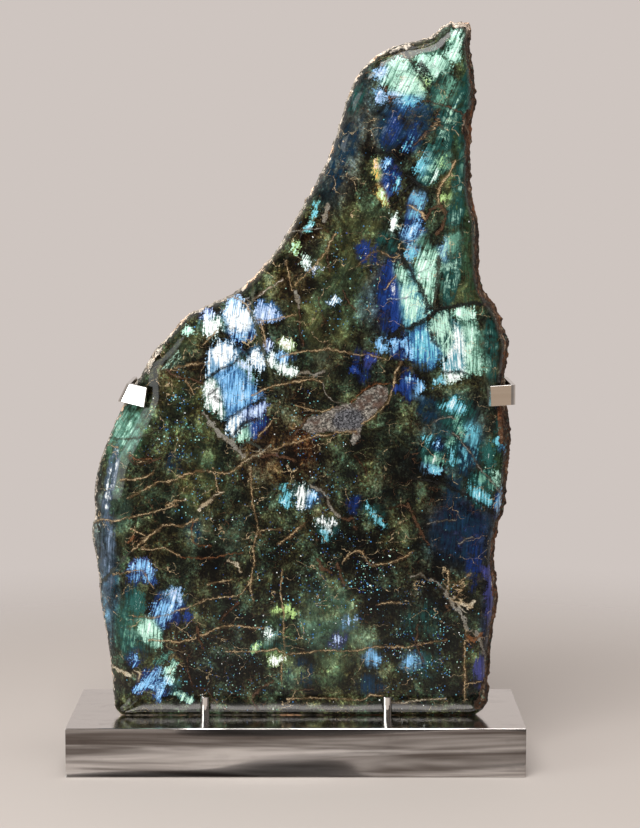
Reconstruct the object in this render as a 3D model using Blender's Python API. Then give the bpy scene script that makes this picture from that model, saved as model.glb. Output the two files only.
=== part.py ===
"""Labradorite slab held upright on a polished steel stand.

Metres, +Z up, +X to the right and the polished face towards -Y.  The origin is the middle of
the base's underside.  The stone is one solid: a polished front that turns over soft edges, a
broken side that stands out past the polish on the right, and a rough, faceted back.  It is cut
flat below and rests on the base.  Two round pins stop its foot in front, and two bent flat bars
rise behind it, reach round its sides and end in a tab on its face.
"""

import math

import bmesh
import bpy
import numpy as np
from mathutils import Vector, noise
from mathutils.geometry import delaunay_2d_cdt

MM = 0.001

# Gap left between two pieces that touch, and how far a cutter stands out of what it cuts
FIT_GAP = 0.3 * MM
CUTTER_PROUD = 5 * MM

# Angles from which an edge of the metal is bevelled and shaded sharp
BEVEL_FROM = math.radians(40)
SHARP_FROM = math.radians(35)

# Base block
BASE_WIDTH = 400 * MM
BASE_DEPTH = 160 * MM
BASE_HEIGHT = 43.5 * MM
BASE_EDGE = 0.7 * MM

# Front pins, pressed into blind sockets
PIN_DIAMETER = 8 * MM
PIN_SIDE = 80.4 * MM
PIN_PROUD = 19.6 * MM
PIN_SOCKET_DEPTH = 12 * MM
PIN_CHAMFER = 0.5 * MM
PIN_SEGMENTS = 36

# Flat bars of the two brackets, standing in blind slots
BAR_WIDTH = 17.5 * MM
BAR_THICKNESS = 3.6 * MM
BAR_EDGE = 0.5 * MM
BAR_BEND_RADIUS = 3.4 * MM
BAR_BEND_STEPS = 4
UPRIGHT_SIDE = 80.4 * MM
UPRIGHT_BACK = 50.5 * MM
SLOT_DEPTH = 14 * MM

# Left tab: middle of its slanted fold, half of the fold line, free end and half of its edge
LEFT_FOLD = Vector((-152.75, 0, 331.25)) * MM
LEFT_FOLD_HALF = Vector((4.15, 0, 8.25)) * MM
LEFT_END = Vector((-130.7, 0, 327.8)) * MM
LEFT_END_HALF = Vector((1.4, 0, 8.9)) * MM
LEFT_END_BACK = 36.4 * MM
LEFT_TAB_SLANT = math.radians(25)
LEFT_ARM_SLOPE = math.radians(44.6)

# Right tab: upright fold, nearly level bar, and an obliquely cut free end
RIGHT_FOLD = Vector((192.1, 0, 330.0)) * MM
RIGHT_FOLD_HALF = Vector((0, 0, 8.75)) * MM
RIGHT_END = Vector((168.0, 0, 329.2)) * MM
RIGHT_END_HALF = Vector((-0.4, 0, 8.75)) * MM
RIGHT_END_BACK = 40.9 * MM
RIGHT_TAB_SLANT = math.radians(12)
RIGHT_ARM_SLOPE = math.radians(-2)

# Stone: the polished face lies on FACE_PLANE and swells forward by FACE_DOME in its middle
FACE_PLANE = -36.7 * MM
FACE_DOME = 3.5 * MM
FACE_DOME_CENTRE = (0.0, 270 * MM)
FACE_DOME_HALF = (150 * MM, 270 * MM)
OUTLINE_STEP = 8.5 * MM
OUTLINE_FINENESS = 12
FRONT_STEP = 10.5 * MM
FRONT_MARGIN = 14 * MM
BACK_STEP = 12.5 * MM
BACK_MARGIN = 6 * MM
# Reach over which the edge kinds of neighbouring places blend, the steepest lean of the turned
# edge, and how far the broken strip starts below the polish, as a share of the edge's drop
EDGE_BLEND = 4 * MM
STEEPEST_LEAN = 0.995
BROKEN_LIP = 0.9
# Two rows of points follow the edge: one on the line where the polish starts, at least this far
# in, and one further in where the broken strip is wide
POLISH_LINE_LEAST = 2.5 * MM
TURN_LINE_IN = 3.5 * MM
WIDE_FLARE = 3 * MM
EDGE_CLEARANCE = 1.2 * MM
FOOT_CLEARANCE = 1 * MM
SIDE_LIFT = 0.4 * MM
WALL_RINGS = (0.0, 0.3, 0.64, 1.0)
WALL_INSET = (0.0, 1.6 * MM, 2.6 * MM, 5.0 * MM)
WALL_ROUGHNESS = 3.6 * MM
WALL_LUMPS = (34 * MM, 15 * MM)
BACK_ROUGHNESS = 1.3 * MM
BACK_LUMPS = (26 * MM, 13 * MM)
BACK_BLOCKS = 70
BACK_BLOCK_STEP = 3.4 * MM
BACK_BLOCK_TILT = 0.16
BACK_BLOCK_STRETCH = 1.7
BACK_BLOCK_SEED = 11
BACK_FIELD = (400 * MM, 640 * MM)
BACK_FIELD_CORNER = (-200 * MM, -20 * MM)
BACK_LEAST = 2 * MM
BACK_LIMIT = 47.8 * MM
CREASE = math.radians(28)
# Distance between the noise layers of two seeds, and how close two points may lie
NOISE_LAYER = 7.3
POINT_GAP = 0.0001 * MM

# How the stone's edge is made at a place on its outline, in millimetres:
# flare: width of the broken strip that stands out past the polish
# turn: width over which the polished face turns back, and drop: how far it turns back
# rim: how far behind the face plane the widest line lies
SHOULDER = {"flare": 1.5, "turn": 38, "drop": 23, "rim": 26.7}
SOFT = {"flare": 3.5, "turn": 16, "drop": 10, "rim": 24}
CRISP = {"flare": 7.5, "turn": 7, "drop": 5, "rim": 26.7}
FOOT = {"flare": 0.5, "turn": 10, "drop": 8.5, "rim": 9}

# Outline seen from the front: x, and height above the cut foot, in millimetres, clockwise from
# the left end of the foot
OUTLINE = [
    (-156, 0, FOOT),
    (-161, 4, FOOT),
    (-164, 12, SHOULDER),
    (-166, 36, SHOULDER),
    (-169, 62, SHOULDER),
    (-175, 98, SHOULDER),
    (-177, 126, SHOULDER),
    (-181, 150, SHOULDER),
    (-183, 162, SHOULDER),
    (-179.5, 176, SHOULDER),
    (-180, 198, SHOULDER),
    (-177, 217, SHOULDER),
    (-171, 236, SHOULDER),
    (-164, 253, SHOULDER),
    (-157, 269, SHOULDER),
    (-147, 288, SHOULDER),
    (-136, 306, SOFT),
    (-127, 323, SOFT),
    (-112, 339, SOFT),
    (-97, 355, SOFT),
    (-70, 368.5, SOFT),
    (-52, 377.5, SOFT),
    (-34, 394, SOFT),
    (-14, 419, SOFT),
    (-3, 438, SOFT),
    (8, 457, SOFT),
    (20, 478, SOFT),
    (29, 498, SOFT),
    (36, 519, SOFT),
    (43, 543, SOFT),
    (51, 562, SOFT),
    (62, 576, SOFT),
    (77, 586.5, SOFT),
    (95, 593, SOFT),
    (112, 596.5, SOFT),
    (120, 601, SOFT),
    (126, 607, SOFT),
    (136, 611.5, SOFT),
    (148, 611.3, CRISP),
    (155.2, 607, CRISP),
    (153.8, 596, CRISP),
    (155, 578, CRISP),
    (159, 545, CRISP),
    (155.3, 518, CRISP),
    (155, 482, CRISP),
    (156.5, 456, CRISP),
    (162, 436, CRISP),
    (162.5, 412, CRISP),
    (165, 382, CRISP),
    (173, 368, CRISP),
    (181.5, 356, CRISP),
    (184.5, 343, CRISP),
    (190, 332, CRISP),
    (187.5, 314, CRISP),
    (185.8, 297, CRISP),
    (186.3, 281, CRISP),
    (190, 266, CRISP),
    (191.5, 236, CRISP),
    (188.5, 206, CRISP),
    (187.5, 189, CRISP),
    (181, 164, CRISP),
    (178, 142, CRISP),
    (179.8, 120, CRISP),
    (180.8, 98, CRISP),
    (176.8, 73, CRISP),
    (174.8, 50, CRISP),
    (173.5, 22, CRISP),
    (171, 10, FOOT),
    (163.5, 3, FOOT),
    (157.5, 0, FOOT),
]

# Broken facets of the back: a point (x, depth, height) and the slopes of depth over x and over
# height.  The back is the foremost of them at each place.
BACK_FACETS = [
    ((0, 46.5, 150), 0.010, -0.006),
    ((40, 46.0, 330), -0.030, -0.085),
    ((-110, 45.0, 150), 0.55, 0.02),
    ((-140, 36.0, 60), 0.90, 0.10),
    ((128, 45.5, 200), -0.42, -0.02),
    ((160, 30.0, 110), -0.95, 0.12),
    ((-60, 44.0, 300), 0.30, -0.35),
    ((100, 34.0, 520), -0.35, -0.10),
    ((60, 30.0, 560), 0.30, -0.28),
    ((0, 42.0, 20), 0.02, 0.24),
]

# Shell-like scars where flakes broke off the back: x, height, radius, depth
BACK_SCARS = [
    (-20, 235, 62, 7),
    (118, 300, 38, 6),
    (-118, 92, 40, 6),
    (92, 430, 34, 5),
    (38, 92, 46, 5),
]

STONE_COLOUR = (0.035, 0.045, 0.032, 1.0)
STEEL_COLOUR = (0.74, 0.72, 0.70, 1.0)


def clear_scene():
    for thing in list(bpy.data.objects):
        bpy.data.objects.remove(thing, do_unlink=True)


def make_material(name, colour, roughness, metallic):
    material = bpy.data.materials.new(name)
    material.use_nodes = True
    shader = material.node_tree.nodes["Principled BSDF"]
    shader.inputs["Base Color"].default_value = colour
    shader.inputs["Roughness"].default_value = roughness
    shader.inputs["Metallic"].default_value = metallic
    material.diffuse_color = colour
    return material


def labradorite_material():
    material = make_material("labradorite", STONE_COLOUR, 0.15, 0.0)
    material.node_tree.nodes["Principled BSDF"].inputs["Coat Weight"].default_value = 0.6
    return material


def steel_material(name):
    return make_material(name, STEEL_COLOUR, 0.08, 1.0)


def object_from_bmesh(name, bm, material):
    mesh = bpy.data.meshes.new(name)
    bmesh.ops.recalc_face_normals(bm, faces=bm.faces)
    bm.to_mesh(mesh)
    bm.free()
    mesh.materials.append(material)
    thing = bpy.data.objects.new(name, mesh)
    bpy.context.collection.objects.link(thing)
    return thing


def add_bevel(thing, width, segments=2):
    bevel = thing.modifiers.new("edges", "BEVEL")
    bevel.width = width
    bevel.segments = segments
    bevel.limit_method = "ANGLE"
    bevel.angle_limit = BEVEL_FROM


def add_cut(thing, cutter):
    cut = thing.modifiers.new("cut", "BOOLEAN")
    cut.operation = "DIFFERENCE"
    cut.solver = "EXACT"
    cut.object = cutter
    cutter.hide_render = True
    cutter.display_type = "WIRE"


def smooth_round_parts(thing):
    thing.data.shade_smooth()
    thing.data.set_sharp_from_angle(angle=SHARP_FROM)


def box_bmesh(low, high):
    bm = bmesh.new()
    bmesh.ops.create_cube(bm, size=1.0)
    size = Vector(high) - Vector(low)
    middle = (Vector(high) + Vector(low)) / 2
    bmesh.ops.scale(bm, vec=size, verts=bm.verts)
    bmesh.ops.translate(bm, vec=middle, verts=bm.verts)
    return bm


def rod_bmesh(radius, low, high):
    """Upright rod on the origin's axis."""
    bm = bmesh.new()
    bmesh.ops.create_cone(bm, cap_ends=True, segments=PIN_SEGMENTS, radius1=radius, radius2=radius,
                          depth=high - low)
    bmesh.ops.translate(bm, vec=(0, 0, (high + low) / 2), verts=bm.verts)
    return bm


def pin_depth():
    """Depth of a pin's axis: its back just clears the polished face."""
    return FACE_PLANE - FIT_GAP - PIN_DIAMETER / 2


def make_base():
    bm = box_bmesh((-BASE_WIDTH / 2, -BASE_DEPTH / 2, 0), (BASE_WIDTH / 2, BASE_DEPTH / 2, BASE_HEIGHT))
    base = object_from_bmesh("steel_base", bm, steel_material("polished steel base"))
    add_bevel(base, BASE_EDGE)
    for side in (-1, 1):
        socket = rod_bmesh(PIN_DIAMETER / 2 + FIT_GAP, BASE_HEIGHT - PIN_SOCKET_DEPTH,
                            BASE_HEIGHT + CUTTER_PROUD)
        bore = object_from_bmesh("socket_cutter", socket, base.data.materials[0])
        bore.location = (side * PIN_SIDE, pin_depth(), 0)
        add_cut(base, bore)
        half_width = BAR_WIDTH / 2 + FIT_GAP
        half_thickness = BAR_THICKNESS / 2 + FIT_GAP
        slot = box_bmesh((-half_width, -half_thickness, BASE_HEIGHT - SLOT_DEPTH),
                         (half_width, half_thickness, BASE_HEIGHT + CUTTER_PROUD))
        pocket = object_from_bmesh("slot_cutter", slot, base.data.materials[0])
        pocket.location = (side * UPRIGHT_SIDE, UPRIGHT_BACK, 0)
        add_cut(base, pocket)
    smooth_round_parts(base)
    return base


def make_pin(name, side):
    low = BASE_HEIGHT - PIN_SOCKET_DEPTH + FIT_GAP
    bm = rod_bmesh(PIN_DIAMETER / 2, low, BASE_HEIGHT + PIN_PROUD)
    pin = object_from_bmesh(name, bm, steel_material("polished steel " + name))
    pin.location = (side * PIN_SIDE, pin_depth(), 0)
    add_bevel(pin, PIN_CHAMFER)
    smooth_round_parts(pin)
    return pin


def band_bmesh(stations):
    """Flat bar skinned over stations, each a middle, half of its width and half of its thickness."""
    bm = bmesh.new()
    loops = []
    for middle, half_width, half_thickness in stations:
        corners = [
            middle - half_width - half_thickness,
            middle + half_width - half_thickness,
            middle + half_width + half_thickness,
            middle - half_width + half_thickness,
        ]
        loops.append([bm.verts.new(corner) for corner in corners])
    for loop, following in zip(loops, loops[1:]):
        for k in range(4):
            bm.faces.new((loop[k], loop[(k + 1) % 4], following[(k + 1) % 4], following[k]))
    bm.faces.new(loops[0])
    bm.faces.new(reversed(loops[-1]))
    return bm


def bend_stations(turning_point, half_width, start, end, height_slope):
    """Stations round a bend, whose directions are angles in plan seen from above."""
    stations = []
    for k in range(BAR_BEND_STEPS + 1):
        angle = start + (end - start) * k / BAR_BEND_STEPS
        out = Vector((math.cos(angle), math.sin(angle), 0))
        middle = turning_point + out * BAR_BEND_RADIUS
        middle.z += height_slope * k / BAR_BEND_STEPS
        stations.append((middle, half_width, out * (BAR_THICKNESS / 2)))
    return stations


def clip_stations(side, fold, fold_half, end, end_half, end_back, slant, arm_slope, end_cut):
    """Stations of an arm from behind the upright, round the stone's side, to its tab in front."""
    half = BAR_THICKNESS / 2
    leg_x = fold.x - side * half
    turn_x = leg_x - side * BAR_BEND_RADIUS
    reach = abs(turn_x) - UPRIGHT_SIDE
    start_z = fold.z - math.tan(arm_slope) * (abs(fold.x) - UPRIGHT_SIDE)
    arm = Vector((side * math.cos(arm_slope), 0, math.sin(arm_slope)))
    across = Vector((-side * arm.z, 0, side * arm.x)) * (BAR_WIDTH / 2)
    back_turn = Vector((turn_x, UPRIGHT_BACK - BAR_BEND_RADIUS, start_z + math.tan(arm_slope) * reach))
    tab_run = Vector((-side * math.cos(slant), -math.sin(slant), 0))
    tab_out = Vector((side * math.sin(slant), -math.cos(slant), 0))
    end_middle = Vector((end.x, -end_back, end.z))
    tab_length = (abs(turn_x) - abs(end.x)) / math.cos(slant) + BAR_BEND_RADIUS * math.tan(slant)
    front_turn = end_middle - tab_run * tab_length - tab_out * BAR_BEND_RADIUS
    front_turn.x = turn_x
    front_turn.z = fold.z
    fold_edge, end_edge = (Vector((line.x, line.x * tab_run.y / tab_run.x, line.z))
                           for line in (fold_half, end_half))

    stations = [(Vector((side * UPRIGHT_SIDE, UPRIGHT_BACK, start_z)), across, Vector((0, half, 0)))]
    straight = math.pi / 2
    sideways = 0.0 if side > 0 else math.pi
    facing = math.atan2(tab_out.y, tab_out.x)
    if side < 0 and facing < 0:
        facing += 2 * math.pi
    stations += bend_stations(back_turn, fold_half, straight, sideways, fold.z - back_turn.z)
    stations += bend_stations(front_turn, fold_edge, sideways, facing, 0.0)
    cut = Vector((end_cut, 0, 0))
    stations.append((end_middle + cut / 2, end_edge, tab_out * half + cut))
    return stations, start_z


def make_bracket(name, side, clip):
    """One welded bent bar: an upright in its slot, and the arm with its tab."""
    material = steel_material("polished steel " + name)
    stations, join_z = clip_stations(side, **clip)
    arm = object_from_bmesh(name, band_bmesh(stations), material)
    foot = BASE_HEIGHT - SLOT_DEPTH + FIT_GAP
    half_width = BAR_WIDTH / 2
    half_thickness = BAR_THICKNESS / 2
    upright = object_from_bmesh(
        name + "_upright_part",
        box_bmesh((side * UPRIGHT_SIDE - half_width, UPRIGHT_BACK - half_thickness, foot),
                  (side * UPRIGHT_SIDE + half_width, UPRIGHT_BACK + half_thickness, join_z + half_width)),
        material)
    weld = arm.modifiers.new("weld", "BOOLEAN")
    weld.operation = "UNION"
    weld.solver = "EXACT"
    weld.object = upright
    upright.hide_render = True
    upright.display_type = "WIRE"
    add_bevel(arm, BAR_EDGE, 1)
    smooth_round_parts(arm)
    return arm


def smooth_closed_curve(points, step):
    """Points every step along a smooth closed curve through the given rows of numbers.

    The first two numbers of a row are its place; the others are carried along and blended.
    """
    rows = np.array(points, dtype=float)
    after = np.roll(rows, -1, axis=0)
    before = np.roll(rows, 1, axis=0)
    gap = np.linalg.norm((after - rows)[:, :2], axis=1, keepdims=True)
    slope = (after - before) / (gap + np.roll(gap, 1, axis=0))
    leave = slope * gap
    arrive = np.roll(slope, -1, axis=0) * gap
    fine = []
    for t in np.linspace(0, 1, OUTLINE_FINENESS, endpoint=False):
        fine.append(rows + leave * t
                    + (3 * (after - rows) - 2 * leave - arrive) * t ** 2
                    + (2 * (rows - after) + leave + arrive) * t ** 3)
    fine = np.stack(fine, axis=1).reshape(-1, rows.shape[1])
    fine[:, 1] = np.maximum(fine[:, 1], 0.0)
    closed = np.vstack([fine, fine[:1]])
    length = np.concatenate([[0], np.cumsum(np.hypot(*np.diff(closed[:, :2], axis=0).T))])
    count = int(round(length[-1] / step))
    places = np.linspace(0, length[-1], count, endpoint=False)
    return np.stack([np.interp(places, length, column) for column in closed.T], axis=1)


def edge_rows():
    """Rows along the outline: x and height, then the four numbers of the edge's kind."""
    keys = ("flare", "turn", "drop", "rim")
    rows = [(x, height) + tuple(edge[key] for key in keys) for x, height, edge in OUTLINE]
    return smooth_closed_curve(rows, OUTLINE_STEP / MM) * MM


def inward_normals(loop):
    """Normals of a clockwise closed loop, evened out over its neighbours."""
    along = np.roll(loop, -2, axis=0) - np.roll(loop, 2, axis=0)
    normal = np.stack([along[:, 1], -along[:, 0]], axis=1)
    return normal / np.linalg.norm(normal, axis=1, keepdims=True)


def distance_to_loop(places, loop):
    """Distance of each place to a closed loop, and its distances to the loop's points."""
    start = loop[None, :, :]
    along = (np.roll(loop, -1, axis=0) - loop)[None, :, :]
    offset = places[:, None, :] - start
    share = np.clip((offset * along).sum(2) / (along ** 2).sum(2), 0, 1)
    gap = np.linalg.norm(offset - share[:, :, None] * along, axis=2)
    return gap.min(axis=1), np.linalg.norm(offset, axis=2)


def face_depth(places, rows):
    """Depth of the front at places (x, height): polish, its soft turn, and the broken strip."""
    reach, gaps = distance_to_loop(places, rows[:, :2])
    weight = 1 / (gaps ** 2 + EDGE_BLEND ** 2) ** 2
    flare, turn, drop, rim = ((weight @ rows[:, 2:]) / weight.sum(axis=1, keepdims=True)).T
    inside = reach - flare
    lean = np.clip(1 - inside / turn, 0, 1)
    polish = FACE_PLANE + drop * (1 - np.sqrt(1 - np.minimum(lean, STEEPEST_LEAN) ** 2))
    across = ((places - np.array(FACE_DOME_CENTRE)) / np.array(FACE_DOME_HALF)) ** 2
    polish -= FACE_DOME * np.clip(1 - across.sum(axis=1), 0, None)
    broken = FACE_PLANE + rim + (drop * BROKEN_LIP - rim) * np.clip(reach / flare, 0, 1)
    return np.where(inside >= 0, polish, broken)


def rough(place, size, seed):
    """Smooth random value of about -1 to 1, changing over the given size."""
    return noise.noise(Vector((place[0] / size, seed * NOISE_LAYER, place[1] / size)))


def cleavage_blocks(places):
    """Depth added by the blocks along which the back split: each has its own step and tilt."""
    random = np.random.default_rng(BACK_BLOCK_SEED)
    middles = random.random((BACK_BLOCKS, 2)) * np.array(BACK_FIELD) + np.array(BACK_FIELD_CORNER)
    steps = random.uniform(-1, 1, BACK_BLOCKS) * BACK_BLOCK_STEP
    tilts = random.uniform(-1, 1, (BACK_BLOCKS, 2)) * BACK_BLOCK_TILT
    offset = places[:, None, :] - middles[None, :, :]
    reach = np.hypot(offset[:, :, 0] * BACK_BLOCK_STRETCH, offset[:, :, 1])
    nearest = reach.argmin(axis=1)
    chosen = offset[np.arange(len(places)), nearest]
    return steps[nearest] + (chosen * tilts[nearest]).sum(axis=1)


def back_depth(places):
    """Depth of the broken back: its facets, scars, blocks and lumps."""
    x, height = places.T / MM
    facets = [depth + over_x * (x - px) + over_z * (height - pz)
              for (px, depth, pz), over_x, over_z in BACK_FACETS]
    depth = np.min(facets, axis=0)
    for scar_x, scar_z, radius, deep in BACK_SCARS:
        reach = np.hypot(x - scar_x, height - scar_z) / radius
        depth -= deep * np.sqrt(np.clip(1 - reach ** 2, 0, 1))
    depth = depth * MM + cleavage_blocks(places)
    for k, place in enumerate(places):
        large, small = (rough(place, size, 2 + seed) for seed, size in enumerate(BACK_LUMPS))
        depth[k] += BACK_ROUGHNESS * (large + 0.6 * small)
    return np.clip(depth, BACK_LEAST, BACK_LIMIT)


def hexagonal_places(loop, step, margin):
    """Places of an even triangle grid inside a loop, no nearer to it than the margin."""
    low = loop.min(axis=0)
    high = loop.max(axis=0)
    rows = np.arange(low[1], high[1], step * math.sqrt(3) / 2)
    grid = []
    for k, height in enumerate(rows):
        across = np.arange(low[0] + (k % 2) * step / 2, high[0], step)
        grid.append(np.stack([across, np.full(across.shape, height)], axis=1))
    grid = np.vstack(grid)
    following = np.roll(loop, -1, axis=0)
    crossings = np.zeros(len(grid), dtype=int)
    for (x1, z1), (x2, z2) in zip(loop, following):
        if z1 == z2:
            continue
        spans = (grid[:, 1] >= min(z1, z2)) & (grid[:, 1] < max(z1, z2))
        crossings += spans & (x1 + (grid[:, 1] - z1) * (x2 - x1) / (z2 - z1) > grid[:, 0])
    grid = grid[crossings % 2 == 1]
    return grid[distance_to_loop(grid, loop)[0] > margin]


def fill_places(loop, inner):
    """Triangles over a loop and the places inside it, as indices into loop + inner."""
    points = [Vector(place) for place in np.vstack([loop, inner])]
    border = list(range(len(loop)))
    result = delaunay_2d_cdt(points, [], [border], 1, POINT_GAP)
    if len(result[0]) != len(points):
        raise ValueError("the stone's outline crosses itself")
    origin = [sources[0] for sources in result[3]]
    return [[origin[corner] for corner in face] for face in result[2]]


def wall_loops(rows):
    """Loops of (x, depth, height) from the widest line to the edge of the back."""
    outline = rows[:, :2]
    normals = inward_normals(outline)
    on_foot = outline[:, 1] < FOOT_CLEARANCE
    rim_depth = FACE_PLANE + rows[:, 5]
    loops = []
    back_edge = None
    for level, (share, inset) in reversed(list(enumerate(zip(WALL_RINGS, WALL_INSET)))):
        amount = np.full(len(outline), inset)
        if share > 0:
            for k, place in enumerate(outline):
                large = abs(rough(place, WALL_LUMPS[0], 10 + level))
                small = abs(rough(place, WALL_LUMPS[1], 20 + level))
                amount[k] += WALL_ROUGHNESS * (large + 0.5 * small)
        edge = outline + normals * amount[:, None]
        edge[:, 1] = np.where(on_foot, 0.0, np.maximum(edge[:, 1], SIDE_LIFT))
        if back_edge is None:
            back_edge = back_depth(edge)
        depth = rim_depth + (back_edge - rim_depth) * share
        loops.append(np.stack([edge[:, 0], depth, edge[:, 1]], axis=1))
    loops.reverse()
    return loops


def make_stone():
    rows = edge_rows()
    outline = rows[:, :2]
    loops = wall_loops(rows)
    normals = inward_normals(outline)
    polish_line = outline + normals * np.maximum(rows[:, 2], POLISH_LINE_LEAST)[:, None]
    turn_line = outline + normals * (rows[:, 2] + TURN_LINE_IN)[:, None]
    wide = rows[:, 2] > WIDE_FLARE
    face_places = hexagonal_places(outline, FRONT_STEP, FRONT_MARGIN)
    edge_places = np.vstack([polish_line[distance_to_loop(polish_line, outline)[0] > EDGE_CLEARANCE],
                             turn_line[wide]])
    edge_places = edge_places[edge_places[:, 1] > FOOT_CLEARANCE]
    front_places = np.vstack([edge_places, face_places])
    back_loop = loops[-1][:, [0, 2]]
    back_places = hexagonal_places(back_loop, BACK_STEP, BACK_MARGIN)

    bm = bmesh.new()
    rest = BASE_HEIGHT + FIT_GAP

    def new_vertex(x, depth, height):
        return bm.verts.new((x, depth, height + rest))

    rings = [[new_vertex(*place) for place in loop] for loop in loops]
    front_depth = face_depth(front_places, rows)
    front_inner = [new_vertex(x, depth, height) for (x, height), depth in zip(front_places, front_depth)]
    behind = back_depth(back_places)
    back_inner = [new_vertex(x, depth, height) for (x, height), depth in zip(back_places, behind)]

    count = len(outline)
    for ring, following in zip(rings, rings[1:]):
        for k in range(count):
            after = (k + 1) % count
            bm.faces.new((ring[k], ring[after], following[after]))
            bm.faces.new((ring[k], following[after], following[k]))
    front = rings[0] + front_inner
    for face in fill_places(outline, front_places):
        bm.faces.new([front[corner] for corner in face])
    back = rings[-1] + back_inner
    for face in fill_places(back_loop, back_places):
        bm.faces.new([back[corner] for corner in face])
    stone = object_from_bmesh("labradorite_stone", bm, labradorite_material())
    stone.data.shade_smooth()
    stone.data.set_sharp_from_angle(angle=CREASE)
    return stone


def left_clip():
    """Measures of the left arm and tab."""
    return {"fold": LEFT_FOLD, "fold_half": LEFT_FOLD_HALF, "end": LEFT_END, "end_half": LEFT_END_HALF,
            "end_back": LEFT_END_BACK, "slant": LEFT_TAB_SLANT, "arm_slope": LEFT_ARM_SLOPE,
            "end_cut": 0.0}


def right_clip():
    """Measures of the right arm and tab."""
    return {"fold": RIGHT_FOLD, "fold_half": RIGHT_FOLD_HALF, "end": RIGHT_END,
            "end_half": RIGHT_END_HALF, "end_back": RIGHT_END_BACK, "slant": RIGHT_TAB_SLANT,
            "arm_slope": RIGHT_ARM_SLOPE, "end_cut": 1.0 * MM}


def main():
    clear_scene()
    make_base()
    make_pin("left_pin", -1)
    make_pin("right_pin", 1)
    make_bracket("left_bracket", -1, left_clip())
    make_bracket("right_bracket", 1, right_clip())
    make_stone()


main()
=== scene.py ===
"""Looks of a polished labradorite slab on its mirror-polished steel stand.

The steel pieces keep their solids and get a mirror finish with wiping marks, and with darker
streaks on upright faces that are a painted reflection. The stone is a finer copy of its
solid: the polished face is evened out, the broken rim and back are roughened, and the flashes,
cloudy grounds, seams and sparkles are laid out in millimetres on the face, as x to the
right and height above the stone's foot. A few pale glows on the left shoulder are painted
highlights.
"""

import logging
import math
from dataclasses import dataclass, field
from enum import Enum

import bpy
import numpy as np
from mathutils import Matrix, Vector


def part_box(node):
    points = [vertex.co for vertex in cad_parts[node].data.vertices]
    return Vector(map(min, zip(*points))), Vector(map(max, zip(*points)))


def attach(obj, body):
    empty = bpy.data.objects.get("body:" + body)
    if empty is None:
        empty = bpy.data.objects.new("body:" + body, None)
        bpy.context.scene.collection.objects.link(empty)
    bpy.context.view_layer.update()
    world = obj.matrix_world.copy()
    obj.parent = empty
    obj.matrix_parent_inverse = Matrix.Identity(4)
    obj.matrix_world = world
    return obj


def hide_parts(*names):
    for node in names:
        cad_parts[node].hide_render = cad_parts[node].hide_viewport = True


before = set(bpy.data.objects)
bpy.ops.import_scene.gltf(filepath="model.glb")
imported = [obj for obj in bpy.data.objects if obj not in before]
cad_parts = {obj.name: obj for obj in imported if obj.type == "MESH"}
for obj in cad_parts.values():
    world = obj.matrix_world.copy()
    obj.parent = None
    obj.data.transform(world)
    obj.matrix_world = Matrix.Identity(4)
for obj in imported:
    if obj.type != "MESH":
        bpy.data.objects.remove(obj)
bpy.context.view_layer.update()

LOG = logging.getLogger("labradorite")
MM = 0.001
Place = tuple[float, float]
Span = tuple[float, float]
Point = tuple[float, float, float]
Colour = tuple[float, float, float]
Ramp = tuple[tuple[float, Colour], ...]
Socket = bpy.types.NodeSocket


def linear(red: int, green: int, blue: int) -> Colour:
    """Scene-linear colour of a screen colour given in 0 to 255.

    Args:
        red: red part.
        green: green part.
        blue: blue part.

    Returns:
        The colour's linear parts.
    """
    parts = [value / 255 for value in (red, green, blue)]
    return tuple(p / 12.92 if p <= 0.04045 else ((p + 0.055) / 1.055) ** 2.4 for p in parts)


class Tint(Enum):
    """Colours of the stone, as they look under a soft white light."""

    WHITE = (250, 255, 255)
    MINT = (186, 232, 212)
    LIME = (186, 222, 140)
    SEA = (112, 168, 146)
    TEAL = (42, 96, 90)
    CYAN = (116, 198, 218)
    SKY = (136, 196, 242)
    LAVENDER = (188, 210, 245)
    AZURE = (70, 132, 196)
    ROYAL = (30, 60, 132)
    VIOLET = (72, 76, 140)
    GOLD = (235, 180, 90)
    INDIGO = (26, 32, 66)
    PETROL = (28, 60, 84)
    NIGHT = (22, 23, 22)
    MOSS = (40, 46, 34)
    HEATH = (56, 62, 47)
    OLIVE = (72, 77, 52)
    SMOKE = (62, 66, 56)
    FERN = (66, 98, 68)
    SAGE = (92, 108, 88)
    UMBER = (64, 54, 40)
    BROWN = (96, 68, 48)
    RUST = (136, 90, 54)
    TAN = (214, 188, 148)
    CREAM = (220, 208, 182)
    ASH = (150, 146, 136)
    SLATE = (76, 84, 90)
    DUSK = (104, 124, 146)
    HARBOUR = (54, 74, 84)
    BONE = (226, 214, 198)

    @property
    def colour(self) -> Colour:
        """Scene-linear colour."""
        return linear(*self.value)


@dataclass(frozen=True)
class Flash:
    """A patch that flashes: colours of its dark and bright streaks, and depth of its dim border."""

    rim: Tint
    core: Tint
    depth: float
    outline: tuple[Place, ...]


@dataclass(frozen=True)
class Glow:
    """A soft oval where the lamellae shine, or, for two on the left shoulder, a painted highlight:
    colours, strength, middle, half sizes and lean.
    """

    rim: Tint
    core: Tint
    strength: float
    middle: Place
    half: Place
    lean: float = 90.0


@dataclass(frozen=True)
class Cloud:
    """A soft oval of ground: colour, how glassy it is, strength, middle, half sizes and lean."""

    tint: Tint
    glassy: float
    strength: float
    middle: Place
    half: Place
    lean: float = 90.0


@dataclass(frozen=True)
class Zone:
    """A soft oval where small crystals sparkle: strength, middle, half sizes and lean."""

    strength: float
    middle: Place
    half: Place
    lean: float


@dataclass(frozen=True)
class Seam:
    """A healed crack along a given line, with its full width in millimetres."""

    tint: Tint
    width: float
    line: tuple[Place, ...]


@dataclass(frozen=True)
class Grain:
    """Lean of the fine lamellae round a place, in degrees from level."""

    middle: Place
    lean: float


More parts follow.
